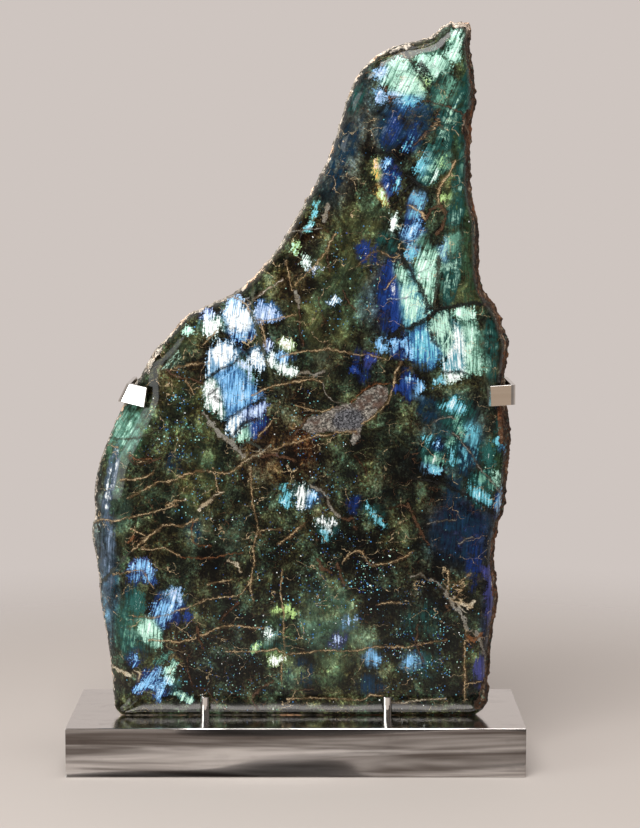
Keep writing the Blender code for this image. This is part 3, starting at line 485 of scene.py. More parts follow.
SEAMS = tuple(Seam(*row) for row in (
    (TAN, 1.8, ((-146, 196), (-136, 201), (-128, 206), (-120, 210), (-112, 210), (-105, 212),
        (-98, 216), (-88, 219), (-78, 220), (-70, 218), (-60, 217), (-52, 222), (-47, 226),
        (-40, 230), (-34, 234), (-28, 236))),
    (TAN, 2.0, ((-28, 236), (-17, 239), (-10, 243), (-4, 244), (4, 246), (12, 249), (20, 251),
        (30, 251), (36, 254), (44, 254), (50, 254))),
    (CREAM, 2.8, ((-44, 228), (-36, 233), (-28, 237), (-25, 240))),
    (BROWN, 3.4, ((-30, 232), (-22, 234), (-12, 232), (-5, 230))),
    (BROWN, 3.0, ((-6, 246), (-2, 252), (4, 258), (8, 266))),
    (NIGHT, 4.4, ((91, 409), (96, 401), (102, 391), (108, 381), (112, 371), (115, 364),
        (114, 360))),
    (NIGHT, 4.0, ((78, 334), (84, 338), (90, 343), (98, 345), (106, 348), (114, 353), (120, 359),
        (127, 361), (136, 363), (144, 365), (153, 366), (163, 365))),
    (BROWN, 3.0, ((163, 365), (170, 364), (175, 362), (178, 358))),
    (NIGHT, 2.0, ((131, 306), (138, 306), (146, 306), (152, 304))),
    (NIGHT, 3.4, ((118, 338), (119, 334), (122, 331))),
    (NIGHT, 2.6, ((97, 580), (100, 574), (104, 567), (108, 560), (112, 553), (116, 548))),
    (NIGHT, 5.6, ((110, 571), (111, 569))),
    (NIGHT, 2.4, ((90, 549), (91, 546))),
    (SMOKE, 3.4, ((124, 404), (124, 392), (123, 380), (121, 370), (121, 360))),
    (TAN, 1.5, ((55, 400), (60, 405), (66, 410), (72, 412), (80, 408), (85, 406), (92, 408))),
    (TAN, 1.3, ((79, 380), (82, 384), (86, 389))),
    (V, 1.0, ((82, 370), (90, 370), (97, 371))),
    (TAN, 2.2, ((1, 384), (8, 391), (17, 399), (24, 408), (29, 417), (33, 424))),
    (BROWN, 1.2, ((27, 410), (28, 402), (29, 396))),
    (BONE, 2.0, ((-43, 364), (-36, 370), (-27, 377), (-19, 382), (-13, 386))),
    (OLIVE, 3.6, ((-37, 381), (-38, 370), (-38, 358), (-36, 350), (-33, 343), (-31, 333),
        (-28, 325), (-26, 317), (-24, 310), (-22, 303))),
    (TAN, 1.6, ((-84, 366), (-74, 369), (-62, 371), (-52, 371), (-44, 366), (-40, 359),
        (-36, 353), (-30, 351), (-20, 352), (-10, 354), (-2, 356))),
    (TAN, 1.5, ((-30, 350), (-29, 344), (-27, 338), (-26, 330))),
    (TAN, 1.6, ((-12, 320), (-5, 322), (3, 324), (12, 325), (20, 325), (28, 327), (36, 325),
        (46, 323), (54, 321), (62, 322), (70, 320), (76, 318))),
    (TAN, 1.3, ((-79, 332), (-75, 336), (-70, 341))),
    (TAN, 2.0, ((-108, 309), (-101, 311), (-93, 313), (-85, 314), (-78, 314))),
    (BROWN, 3.0, ((-113, 308), (-106, 303), (-99, 301), (-90, 300), (-83, 297))),
    (TAN, 1.2, ((-97, 300), (-93, 294), (-90, 289))),
    (M, 1.2, ((-115, 310), (-110, 316), (-104, 323))),
    (M, 1.0, ((-112, 307), (-107, 312), (-102, 318))),
    (NIGHT, 1.8, ((-80, 299), (-72, 305), (-65, 309), (-57, 312), (-51, 317))),
    (NIGHT, 2.2, ((-62, 259), (-59, 266), (-51, 271), (-43, 276), (-34, 280), (-27, 285),
        (-22, 287))),
    (NIGHT, 2.2, ((-56, 250), (-51, 256), (-46, 262), (-40, 264), (-34, 265))),
    (NIGHT, 2.6, ((-70, 284), (-67, 282))),
    (NIGHT, 2.6, ((-74, 288), (-71, 290))),
    (TAN, 2.2, ((-36, 287), (-28, 291), (-20, 294), (-10, 296), (0, 298), (10, 300), (18, 300),
        (23, 298))),
    (ASH, 3.2, ((4, 305), (10, 307), (16, 303), (22, 306))),
    (ASH, 1.4, ((24, 298), (25, 291), (28, 285), (33, 281), (40, 279))),
    (TAN, 1.4, ((2, 277), (10, 274), (18, 272), (25, 272), (31, 275))),
    (TAN, 1.2, ((-31, 252), (-26, 257), (-22, 262))),
    (ASH, 6.5, ((-78, 267), (-73, 260), (-67, 253), (-60, 247), (-54, 242), (-49, 236))),
    (SMOKE, 3.4, ((-50, 238), (-45, 244), (-39, 245), (-33, 241))),
    (BROWN, 2.0, ((4, 259), (9, 268), (16, 271))),
    (RUST, 1.2, ((50, 281), (56, 288), (62, 293), (69, 296), (79, 296))),
    (TAN, 2.2, ((91, 313), (87, 306), (86, 298), (84, 289), (81, 281), (74, 273), (66, 266),
        (60, 262))),
    (OLIVE, 2.0, ((76, 270), (83, 271), (89, 269), (94, 264), (95, 258), (90, 256), (80, 258),
        (70, 256), (60, 257))),
    (OLIVE, 2.0, ((86, 251), (91, 247), (95, 243), (99, 240))),
    (OLIVE, 1.4, ((50, 234), (57, 238), (65, 240), (75, 240), (86, 241))),
    (BROWN, 1.8, ((52, 232), (57, 227), (61, 220), (63, 213))),
    (ASH, 3.4, ((15, 206), (22, 202), (27, 197), (29, 190), (33, 184), (38, 179))),
    (BROWN, 3.0, ((38, 179), (45, 176), (50, 178), (52, 171))),
    (TAN, 1.5, ((-40, 221), (-39, 208), (-39, 198), (-37, 187), (-35, 176), (-33, 166),
        (-36, 158), (-38, 150), (-37, 140), (-39, 128), (-40, 116), (-38, 106))),
    (TAN, 1.3, ((-33, 166), (-25, 168), (-15, 168))),
    (TAN, 1.8, ((-14, 156), (-8, 160), (-1, 166), (6, 172))),
    (TAN, 1.8, ((42, 140), (46, 145), (52, 149), (58, 148), (62, 140), (66, 136), (76, 137),
        (86, 139), (95, 143), (101, 147))),
    (BROWN, 3.6, ((20, 139), (23, 133), (28, 131))),
    (BROWN, 3.2, ((37, 135), (39, 128), (41, 121))),
    (TAN, 1.2, ((73, 101), (82, 103), (91, 102))),
    (TAN, 1.4, ((-142, 90), (-128, 89), (-116, 91), (-105, 95), (-95, 98), (-88, 101),
        (-80, 105), (-70, 107), (-60, 108), (-51, 109), (-46, 113), (-42, 119))),
    (TAN, 1.6, ((-128, 69), (-115, 68), (-103, 67), (-92, 70), (-80, 74), (-72, 79), (-62, 82),
        (-50, 82), (-40, 80), (-30, 80))),
    (TAN, 1.2, ((-60, 59), (-45, 59), (-30, 59), (-18, 61), (-9, 57), (0, 57), (14, 59),
        (30, 60), (45, 59), (56, 60), (66, 63), (80, 63), (94, 63))),
    (TAN, 1.1, ((-12, 130), (-14, 112), (-11, 95), (-11, 75), (-10, 60), (-13, 46), (-13, 30))),
    (BROWN, 3.0, ((-35, 8), (-39, 15), (-37, 21), (-31, 26), (-23, 31))),
    (TAN, 1.0, ((-6, 16), (15, 17), (38, 16), (56, 15), (62, 16), (65, 20), (76, 18))),
    (BROWN, 1.1, ((-2, 24), (5, 24), (13, 25))),
    (BROWN, 2.4, ((-96, 50), (-96, 41), (-94, 33), (-91, 27), (-84, 26), (-78, 24), (-72, 14))),
    (BROWN, 3.2, ((-87, 78), (-86, 71), (-83, 64))),
    (BROWN, 3.0, ((-66, 87), (-62, 92), (-57, 98), (-53, 101))),
    (OLIVE, 1.8, ((-170, 246), (-158, 246), (-148, 247), (-138, 248), (-130, 251), (-121, 255))),
    (TAN, 1.2, ((-172, 239), (-166, 240), (-159, 239))),
    (RUST, 2.0, ((-144, 232), (-139, 229), (-132, 230), (-127, 230))),
    (BROWN, 1.8, ((-146, 230), (-142, 225), (-136, 225), (-128, 227), (-121, 230))),
    (TAN, 1.6, ((-179, 171), (-173, 175), (-161, 174), (-150, 177), (-140, 180), (-131, 182),
        (-121, 184), (-112, 187), (-106, 189))),
    (TAN, 1.2, ((-114, 189), (-107, 193), (-99, 194))),
    (TAN, 1.6, ((-152, 211), (-140, 212), (-132, 214), (-127, 217))),
    (SMOKE, 3.6, ((-174, 117), (-167, 124), (-160, 132), (-152, 141), (-145, 148))),
    (TAN, 2.8, ((-145, 148), (-138, 154), (-131, 159), (-124, 166), (-117, 171))),
    (TAN, 1.8, ((-117, 171), (-108, 172), (-100, 170), (-94, 174), (-88, 176))),
    (TAN, 1.4, ((-143, 167), (-137, 164), (-131, 161))),
    (RUST, 3.2, ((-146, 158), (-144, 160))),
    (TAN, 1.6, ((-133, 150), (-124, 150), (-116, 151), (-109, 148), (-104, 145))),
    (TAN, 1.1, ((-162, 126), (-151, 129), (-142, 131), (-135, 131), (-131, 123), (-127, 117))),
    (TAN, 1.3, ((-72, 220), (-70, 212), (-69, 204), (-67, 199))),
    (CREAM, 3.6, ((-83, 187), (-79, 191), (-75, 194))),
    (CREAM, 2.6, ((-76, 194), (-71, 198), (-66, 200))),
    (RUST, 1.1, ((-90, 176), (-92, 166), (-90, 156), (-85, 153), (-77, 153))),
    (RUST, 1.1, ((-99, 143), (-85, 142), (-70, 143), (-60, 146), (-49, 147))),
    (TAN, 1.2, ((-76, 119), (-68, 121), (-59, 123))),
    (CREAM, 3.4, ((-57, 139), (-52, 137), (-50, 133))),
    (CREAM, 3.6, ((-166, 43), (-158, 39), (-150, 37))),
    (CREAM, 2.6, ((-141, 40), (-138, 38), (-139, 34))),
    (ASH, 1.3, ((119, 261), (125, 265), (131, 267), (137, 266))),
    (ASH, 1.8, ((139, 251), (145, 245), (150, 239), (155, 232), (160, 223), (168, 214),
        (176, 204), (183, 194))),
    (NIGHT, 3.4, ((104, 213), (116, 211), (128, 208), (140, 203), (152, 196), (164, 189),
        (175, 182))),
    (ASH, 1.2, ((118, 173), (127, 175), (138, 176))),
    (ASH, 1.2, ((145, 156), (149, 159), (154, 160))),
    (BROWN, 3.4, ((99, 188), (103, 180), (107, 172), (110, 164), (115, 157))),
    (BROWN, 2.4, ((85, 187), (93, 189), (100, 187))),
    (ASH, 3.0, ((104, 126), (110, 128), (115, 123), (122, 122), (127, 118), (132, 113))),
    (ASH, 5.2, ((134, 108), (138, 101), (143, 95), (148, 88), (150, 80))),
    (TAN, 2.6, ((134, 128), (134, 117), (134, 106))),
    (TAN, 2.2, ((150, 80), (149, 68), (149, 52), (149, 36), (149, 18))),
    (TAN, 2.0, ((138, 105), (143, 110), (147, 116))),
    (TAN, 1.6, ((140, 118), (146, 122), (152, 127))),
    (CREAM, 4.4, ((147, 101), (152, 98), (155, 101))),
    (RUST, 3.6, ((151, 72), (157, 68), (162, 73))),
    (ASH, 3.6, ((160, 74), (164, 64), (167, 55), (169, 47))),
    (TAN, 1.0, ((150, 29), (156, 30), (162, 31))),
    (BROWN, 2.4, ((107, 80), (107, 73), (105, 66), (109, 57), (113, 49))),
    (TAN, 1.0, ((84, 62), (98, 62), (108, 65), (120, 67), (131, 69))),
    (CREAM, 1.8, ((84, 12), (98, 13), (112, 15), (130, 16))),
    (TAN, 3.0, ((100, 450), (108, 446), (112, 440))),
    (BROWN, 3.4, ((113, 440), (117, 447), (124, 452), (130, 446), (129, 436), (124, 428))),
    (TAN, 3.0, ((124, 452), (123, 461), (127, 470), (133, 478), (137, 487))),
    (TAN, 1.4, ((108, 508), (113, 510), (119, 517), (124, 523))),
    (RUST, 3.0, ((78, 551), (80, 545), (81, 541))),
    (BROWN, 2.4, ((112, 541), (122, 539), (132, 536), (142, 531), (148, 524))),
    (BROWN, 2.0, ((104, 505), (112, 513), (119, 522), (123, 531))),
    (NIGHT, 3.6, ((98, 476), (106, 470), (112, 465))),
    (NIGHT, 2.4, ((84, 452), (90, 459), (97, 466), (104, 472))),
    (ASH, 1.8, ((-4, 428), (4, 429), (12, 431), (20, 431))),
    (ASH, 5.0, ((25, 441), (27, 449))),
    (ASH, 5.0, ((1, 373), (3, 364))),
    (BROWN, 2.0, ((3, 360), (3, 350), (4, 340), (6, 332))),
    (TAN, 1.4, ((-8, 401), (-6, 390), (-4, 380))),
    (BROWN, 1.8, ((20, 369), (22, 361), (25, 352))),
    (BROWN, 1.8, ((42, 375), (46, 367), (51, 361))),
))

SUGAR_PATCH = (
    (5, 257), (8, 263), (13, 268), (20, 269), (27, 272), (34, 276), (43, 279), (51, 280), (56, 286),
    (64, 292), (72, 295), (79, 294), (81, 288), (79, 280), (72, 273), (66, 266), (60, 262),
    (57, 255), (55, 247), (50, 241), (48, 246), (49, 253), (42, 255), (34, 253), (29, 255),
    (22, 253), (13, 252),
)
SUGAR_CORE = (
    (32, 266), (36, 272), (45, 275), (56, 273), (60, 266), (58, 259), (52, 256), (44, 256),
    (36, 256), (32, 260),
)

GRAINS = tuple(Grain(*row) for row in (
    ((95, 565), 64), ((135, 585), 66), ((125, 545), 68), ((95, 515), 63), ((50, 540), 66),
    ((40, 480), 66), ((118, 490), 64), ((146, 500), 87), ((150, 420), 90), ((105, 445), 72),
    ((115, 405), 72), ((95, 365), 80), ((117, 385), 82), ((112, 330), 92), ((128, 345), 94),
    ((140, 328), 95), ((154, 328), 94), ((174, 320), 90), ((140, 270), 67), ((150, 235), 80),
    ((162, 202), 88), ((140, 165), 85), ((172, 110), 87), ((182, 230), 86), ((-65, 318), 87),
    ((-55, 290), 87), ((-48, 352), 82), ((-24, 358), 80), ((-150, 255), 62), ((-160, 215), 80),
    ((-150, 130), 86), ((-120, 95), 74), ((-130, 72), 85), ((-128, 32), 60), ((-115, 28), 66),
    ((30, 75), 91), ((60, 40), 89), ((0, 198), 80), ((-8, 196), 73), ((-100, 260), 75),
    ((20, 380), 62), ((0, 130), 86), ((110, 60), 88), ((-60, 60), 86),
))

HAIRLINES = (
    Hairline(0.030, 0.018, NIGHT, 11.0, 0.44), Hairline(0.036, 0.011, TAN, 53.0, 0.49),
    Hairline(0.085, 0.022, NIGHT, 37.0, 0.46), Hairline(0.070, 0.015, BROWN, 71.0, 0.50),
)

RAW_GROUND: Ramp = (
    (0.37, linear(10, 9, 7)), (0.45, linear(26, 23, 16)), (0.52, linear(50, 48, 35)),
    (0.59, linear(80, 87, 67)), (0.67, linear(122, 138, 114)), (0.78, linear(190, 204, 182)),
)
CLEAR_GROUND: Ramp = (
    (0.33, linear(28, 30, 25)), (0.45, linear(50, 56, 44)), (0.55, linear(72, 82, 66)),
    (0.68, linear(112, 130, 108)),
)
SPECKS: Ramp = (
    (0.0, (1.0, 1.0, 1.0)), (0.66, (0.55, 0.55, 0.5)), (0.80, (1.1, 1.7, 1.5)),
    (0.88, (1.9, 1.5, 1.0)), (0.94, (1.0, 1.6, 2.2)), (0.975, (3.4, 3.3, 2.8)),
)
SPARKLE_TONES: Ramp = tuple((at, tint.colour) for at, tint in (
    (0.0, R), (0.16, A), (0.38, T), (0.48, S), (0.64, C), (0.82, M), (0.92, W)))
MEAN_GROUND: Colour = (0.052, 0.058, 0.038)
WARMER: Colour = (1.12, 0.96, 0.80)
COOLER: Colour = (0.78, 0.92, 0.98)
RUSTIER: Colour = (1.5, 0.92, 0.55)
HALO_STAIN: Colour = (0.11, 0.085, 0.06)
CORE_STAIN: Colour = (0.66, 0.52, 0.36)
SUGAR_PALE = (linear(72, 68, 64), linear(158, 152, 142))
SUGAR_DARK = (linear(34, 34, 38), linear(118, 118, 122))
SUGAR_RED = linear(84, 62, 52)
ROCK_BACK = linear(84, 80, 70)
FRONT_LEAN = -0.03


def smooth_step(low: float, high: float, value: np.ndarray) -> np.ndarray:
    """Soft step of a value from 0 at low to 1 at high.

    Args:
        low: where the step begins.
        high: where it ends.
        value: numbers to step.

    Returns:
        The stepped numbers.
    """
    share = np.clip((value - low) / (high - low), 0, 1)
    return share * share * (3 - 2 * share)


def segment_gap(places: np.ndarray, start: np.ndarray,
                end: np.ndarray) -> tuple[np.ndarray, np.ndarray]:
    """Distances of places to a straight segment.

    Args:
        places: rows of x and height.
        start: one end of the segment.
        end: the other end.

    Returns:
        Distance, and signed sideways distance.
    """
    run = end - start
    length = max(float(np.hypot(*run)), 1e-6)
    offset = places - start
    share = np.clip(offset @ run / length ** 2, 0, 1)
    gap = np.hypot(*(offset - share[:, None] * run).T)
    side = (offset[:, 0] * run[1] - offset[:, 1] * run[0]) / length
    return gap, side


def outline_reach(places: np.ndarray, outline: tuple[Place, ...]) -> np.ndarray:
    """Distance of places inside an outline to it, negative outside.

    Args:
        places: rows of x and height.
        outline: corners of a closed outline.

    Returns:
        One signed distance for each place.
    """
    corners = np.array(outline, dtype=float)
    reach = np.full(len(places), np.inf)
    inside = np.zeros(len(places), dtype=bool)
    for start, end in zip(corners, np.roll(corners, -1, axis=0)):
        reach = np.minimum(reach, segment_gap(places, start, end)[0])
        spans = (places[:, 1] < start[1]) != (places[:, 1] < end[1])
        rise = end[1] - start[1] if end[1] != start[1] else 1e-9
        crossing = start[0] + (places[:, 1] - start[1]) * (end[0] - start[0]) / rise
        inside ^= spans & (places[:, 0] < crossing)
    return np.where(inside, reach, -reach)


def near_box(places: np.ndarray, points: tuple[Place, ...], margin: float) -> np.ndarray:
    """Indices of the places within a margin of some points' bounding box.

    Args:
        places: rows of x and height.
        points: points whose box is taken.
        margin: room added on each side.

    Returns:
        Indices into places.
    """
    rows = np.array(points, dtype=float)
    low = rows.min(axis=0) - margin
    high = rows.max(axis=0) + margin
    return np.flatnonzero(((places >= low) & (places <= high)).all(axis=1))


def oval_weight(places: np.ndarray, oval: Glow | Cloud | Zone) -> np.ndarray:
    """How strongly a soft oval covers each place.

    Args:
        places: rows of x and height.
        oval: the oval.

    Returns:
        Weights from 0 to the oval's strength.
    """
    turn = math.radians(oval.lean - 90)
    offset = places - np.array(oval.middle)
    across = offset[:, 0] * math.cos(turn) + offset[:, 1] * math.sin(turn)
    along = -offset[:, 0] * math.sin(turn) + offset[:, 1] * math.cos(turn)
    reach = np.hypot(across / oval.half[0], along / oval.half[1])
    return oval.strength * (1 - smooth_step(0.35, 1.2, reach))


def side_middle(height: np.ndarray) -> np.ndarray:
    """Line that parts the stone's left side from its right, leaning with the horn above it.

    Args:
        height: heights above the foot in millimetres.

    Returns:
        The line's x at each height.
    """
    horn_from, horn_lean = 360, 0.54
    return np.maximum(0, (height - horn_from) * horn_lean)


def face_leans(mesh: bpy.types.Mesh) -> np.ndarray:
    """How far each face of a mesh faces back, from -1 for the front to 1 for the back.

    Args:
        mesh: the mesh.

    Returns:
        One number for each face.
    """
    normals = np.zeros(len(mesh.polygons) * 3)
    mesh.polygons.foreach_get("normal", normals)
    return normals.reshape(-1, 3)[:, 1]


def deselect_all() -> None:
    """Leaves nothing selected, in object mode."""
    if bpy.context.object and bpy.context.object.mode != "OBJECT":
        bpy.ops.object.mode_set(mode="OBJECT")
    bpy.ops.object.select_all(action="DESELECT")


def make_active(thing: bpy.types.Object) -> None:
    """Selects one object alone and makes it active.

    Args:
        thing: the object.
    """
    deselect_all()
    thing.select_set(True)
    bpy.context.view_layer.objects.active = thing


class Nodes:
    """Small helper that adds and links nodes in one node tree."""

    def __init__(self, tree: bpy.types.NodeTree) -> None:
        """Keeps the node tree of a material, a group or the world, to add nodes to."""
        self.tree = tree

    def add(self, kind: str, **settings: object) -> bpy.types.Node:
        """Adds a node and sets its properties.

        Args:
            kind: node type without its ShaderNode prefix.
            **settings: properties of the node.

        Returns:
            The new node.
        """
        node = self.tree.nodes.new("ShaderNode" + kind)
        for name, value in settings.items():
            setattr(node, name, value)
        return node

    def feed(self, node: bpy.types.Node, slot: object, value: object) -> None:
        """Links or sets one input.

        Args:
            node: the node that takes the input.
            slot: the input's name or number.
            value: an output socket to link, or a plain value to set.
        """
        socket = node.inputs[slot]
        if isinstance(value, Socket):
            self.tree.links.new(value, socket)
        elif isinstance(value, tuple) and socket.type == "RGBA" and len(value) == 3:
            socket.default_value = (*value, 1.0)
        else:
            socket.default_value = value

    def math(self, operation: str, first: object, second: object = 0.0, third: object = 0.0,
             clamp: bool = False) -> Socket:
        """Adds a Math node.

        Args:
            operation: what it works out.
            first: first input.
            second: second input.
            third: third input.
            clamp: whether the result is kept within 0 to 1.

        Returns:
            Its output.
        """
        node = self.add("Math", operation=operation, use_clamp=clamp)
        for slot, value in enumerate((first, second, third)):
            self.feed(node, slot, value)
        return node.outputs[0]

    def step(self, low: object, high: object, value: object, start: float = 0.0,
             end: float = 1.0) -> Socket:
        """Adds a soft step from low to high.

        Args:
            low: where the step begins.
            high: where it ends.
            value: what is stepped.
            start: result below low.
            end: result above high.

        Returns:
            The stepped value.
        """
        node = self.add("MapRange", interpolation_type="SMOOTHSTEP")
        for slot, given in (("Value", value), ("From Min", low), ("From Max", high), ("To Min", start),
                            ("To Max", end)):
            self.feed(node, slot, given)
        return node.outputs["Result"]

    def mix(self, share: object, first: object, second: object, blend: str = "MIX") -> Socket:
        """Mixes two colours.

        Args:
            share: how much of the second is used.
            first: first colour.
            second: second colour.
            blend: blend mode.

        Returns:
            The mixed colour.
        """
        node = self.add("Mix", data_type="RGBA", blend_type=blend, clamp_factor=True)
        for slot, given in ((0, share), (6, first), (7, second)):
            self.feed(node, slot, given)
        return node.outputs[2]

    def noise(self, place: object, scale: float, detail: float = 3.0, roughness: float = 0.55,
              distortion: float = 0.0) -> Socket:
        """Adds a noise texture.

        Args:
            place: coordinates that it reads.
            scale: how often it changes.
            detail: how many finer layers it has.
            roughness: strength of the finer layers.
            distortion: how much it is warped.

        Returns:
            The noise value, about 0 to 1.
        """
        node = self.add("TexNoise", noise_dimensions="3D")
        for slot, given in (("Vector", place), ("Scale", scale), ("Detail", detail),
                            ("Roughness", roughness), ("Distortion", distortion)):
            self.feed(node, slot, given)
        return node.outputs["Fac"]

    def sway(self, value: object, reach: float) -> Socket:
        """Turns a value of 0 to 1 into one of half a reach to either side of 0."""
        return self.math("MULTIPLY_ADD", value, reach, -reach / 2)

    def product(self, *values: object) -> Socket:
        """Multiplies values one after the other.

        Args:
            values: numbers or sockets.

        Returns:
            The product.
        """
        result = values[0]
        for value in values[1:]:
            result = self.math("MULTIPLY", result, value)
        return result

    def stretch(self, place: object, scale: Point) -> Socket:
        """Scales coordinates.

        Args:
            place: coordinates.
            scale: factor along each axis.

        Returns:
            The scaled coordinates.
        """
        node = self.add("Mapping")
        self.feed(node, "Vector", place)
        self.feed(node, "Scale", scale)
        return node.outputs[0]

    def attribute(self, name: str) -> bpy.types.Node:
        """Adds a node that reads one of the mesh's own attributes."""
        return self.add("Attribute", attribute_type="GEOMETRY", attribute_name=name)

    def split(self, vector: object) -> list[Socket]:
        """Splits a vector.

        Args:
            vector: what is split.

        Returns:
            Its three parts.
        """
        node = self.add("SeparateXYZ")
        self.feed(node, 0, vector)
        return list(node.outputs)


def new_group(name: str, inputs: dict[str, tuple[str, object]], outputs: dict[str, str],
              ) -> tuple[bpy.types.NodeTree, Nodes, bpy.types.Node, bpy.types.Node]:
    """Starts a shader node group.

    Args:
        name: the group's name.
        inputs: socket type and default of each input, by name.
        outputs: socket type of each output, by name.

    Returns:
        The group, a node helper for it, and its input and output nodes.
    """
    tree = bpy.data.node_groups.new(name, "ShaderNodeTree")
    for label, (kind, default) in inputs.items():
        socket = tree.interface.new_socket(label, in_out="INPUT", socket_type="NodeSocket" + kind)
        if default is not None:
            socket.default_value = default
    for label, kind in outputs.items():
        tree.interface.new_socket(label, in_out="OUTPUT", socket_type="NodeSocket" + kind)
    return tree, Nodes(tree), tree.nodes.new("NodeGroupInput"), tree.nodes.new("NodeGroupOutput")


def new_material(name: str) -> tuple[bpy.types.Material, Nodes, bpy.types.Node]:
    """Starts a material.

    Args:
        name: the material's name.

    Returns:
        The material, a node helper for it and its Principled shader.
    """
    material = bpy.data.materials.new(name)
    material.use_nodes = True
    return material, Nodes(material.node_tree), material.node_tree.nodes["Principled BSDF"]


@dataclass(frozen=True)
class MirrorSteel:
    """Mirror-polished steel: wiping marks, darker streaks on upright faces that are a painted
    reflection, an uneven surface.
    """

    name: str
    tone: Colour = (0.80, 0.77, 0.75)
    mark_shade: float = 0.86
    roughness: float = 0.05
    swell: float = 14.0
    swell_depth: float = 0.9
    swell_height: float = 17.0 * MM
    marks: float = 0.06
    # Tint of the darker streaks on upright faces: a painted reflection of dark surroundings.
    reflection_streak: Colour = (0.9, 0.88, 0.86)

    def build(self, wear_and_reflection: bpy.types.NodeTree) -> bpy.types.Material:
        """Makes the material.

        Args:
            wear_and_reflection: the shared group of wiping marks, painted reflection and uneven
                surface.

        Returns:
            The material.
        """
        material, nodes, shader = new_material(self.name)
        place = nodes.add("TexCoord").outputs["Object"]
        worn_and_reflected = nodes.add("Group", node_tree=wear_and_reflection)
        nodes.feed(worn_and_reflected, "Place", place)
        nodes.feed(worn_and_reflected, "Swell", self.swell)
        darker = tuple(part * self.mark_shade for part in self.tone)
        marked = nodes.mix(worn_and_reflected.outputs["Marks"], self.tone, darker)
        # Painted reflection: upright faces darken in long streaks of the streak tint.
        reflection_streaked = nodes.mix(worn_and_reflected.outputs["Streaks"], (1.0, 1.0, 1.0), self.reflection_streak)
        nodes.feed(shader, "Base Color", nodes.mix(1.0, marked, reflection_streaked, "MULTIPLY"))
        shader.inputs["Metallic"].default_value = 1.0
        rough = nodes.math("MULTIPLY_ADD", worn_and_reflected.outputs["Marks"], self.marks, self.roughness)
        nodes.feed(shader, "Roughness", rough)
        bump = nodes.add("Bump")
        nodes.feed(bump, "Strength", self.swell_depth)
        nodes.feed(bump, "Distance", self.swell_height)
        nodes.feed(bump, "Height", worn_and_reflected.outputs["Height"])
        nodes.feed(shader, "Normal", bump.outputs[0])
        return material


def wear_and_reflection_group() -> bpy.types.NodeTree:
    """Builds the wiping marks, painted reflection and uneven surface that every steel piece shares.

    Returns:
        A group that gives wiping marks, long darker streaks on upright faces that are a painted
        reflection of dark surroundings, and the height of the uneven surface.
    """
    # The group's outputs: wiping marks, painted reflection streaks on upright faces, and the surface's
    # height.
    tree, nodes, start, end = new_group(
        "steel wear", {"Place": ("Vector", None), "Swell": ("Float", 14.0)},
        {"Marks": "Float", "Streaks": "Float", "Height": "Float"})
    place = start.outputs["Place"]
    wiped = nodes.noise(nodes.stretch(place, (22, 60, 160)), 1.0, 4, 0.6, 0.4)
    prints = nodes.noise(place, 60.0, 3, 0.6, 0.6)
    marks = nodes.product(nodes.step(0.42, 0.72, wiped), nodes.step(0.4, 0.7, prints))
    nodes.feed(end, "Marks", marks)
    # Painted reflection: long drawn streaks that darken upright faces only.
    drawn_reflection = nodes.noise(nodes.stretch(place, (3.2, 3.2, 62)), 1.0, 3, 0.62, 0.5)
    level = nodes.math("ABSOLUTE", nodes.split(nodes.add("TexCoord").outputs["Normal"])[2])
    upright = nodes.step(0.2, 0.8, level, 1.0, 0.0)
    nodes.feed(end, "Streaks", nodes.product(nodes.step(0.32, 0.62, drawn_reflection, 0.10, 1.0), upright))
    long_swell = nodes.stretch(place, (0.35, 0.25, 2.6))
    swell = nodes.add("TexNoise")
    nodes.feed(swell, "Vector", long_swell)
    nodes.feed(swell, "Scale", start.outputs["Swell"])
    nodes.feed(swell, "Detail", 1.0)
    nodes.feed(end, "Height", swell.outputs["Fac"])
    return tree


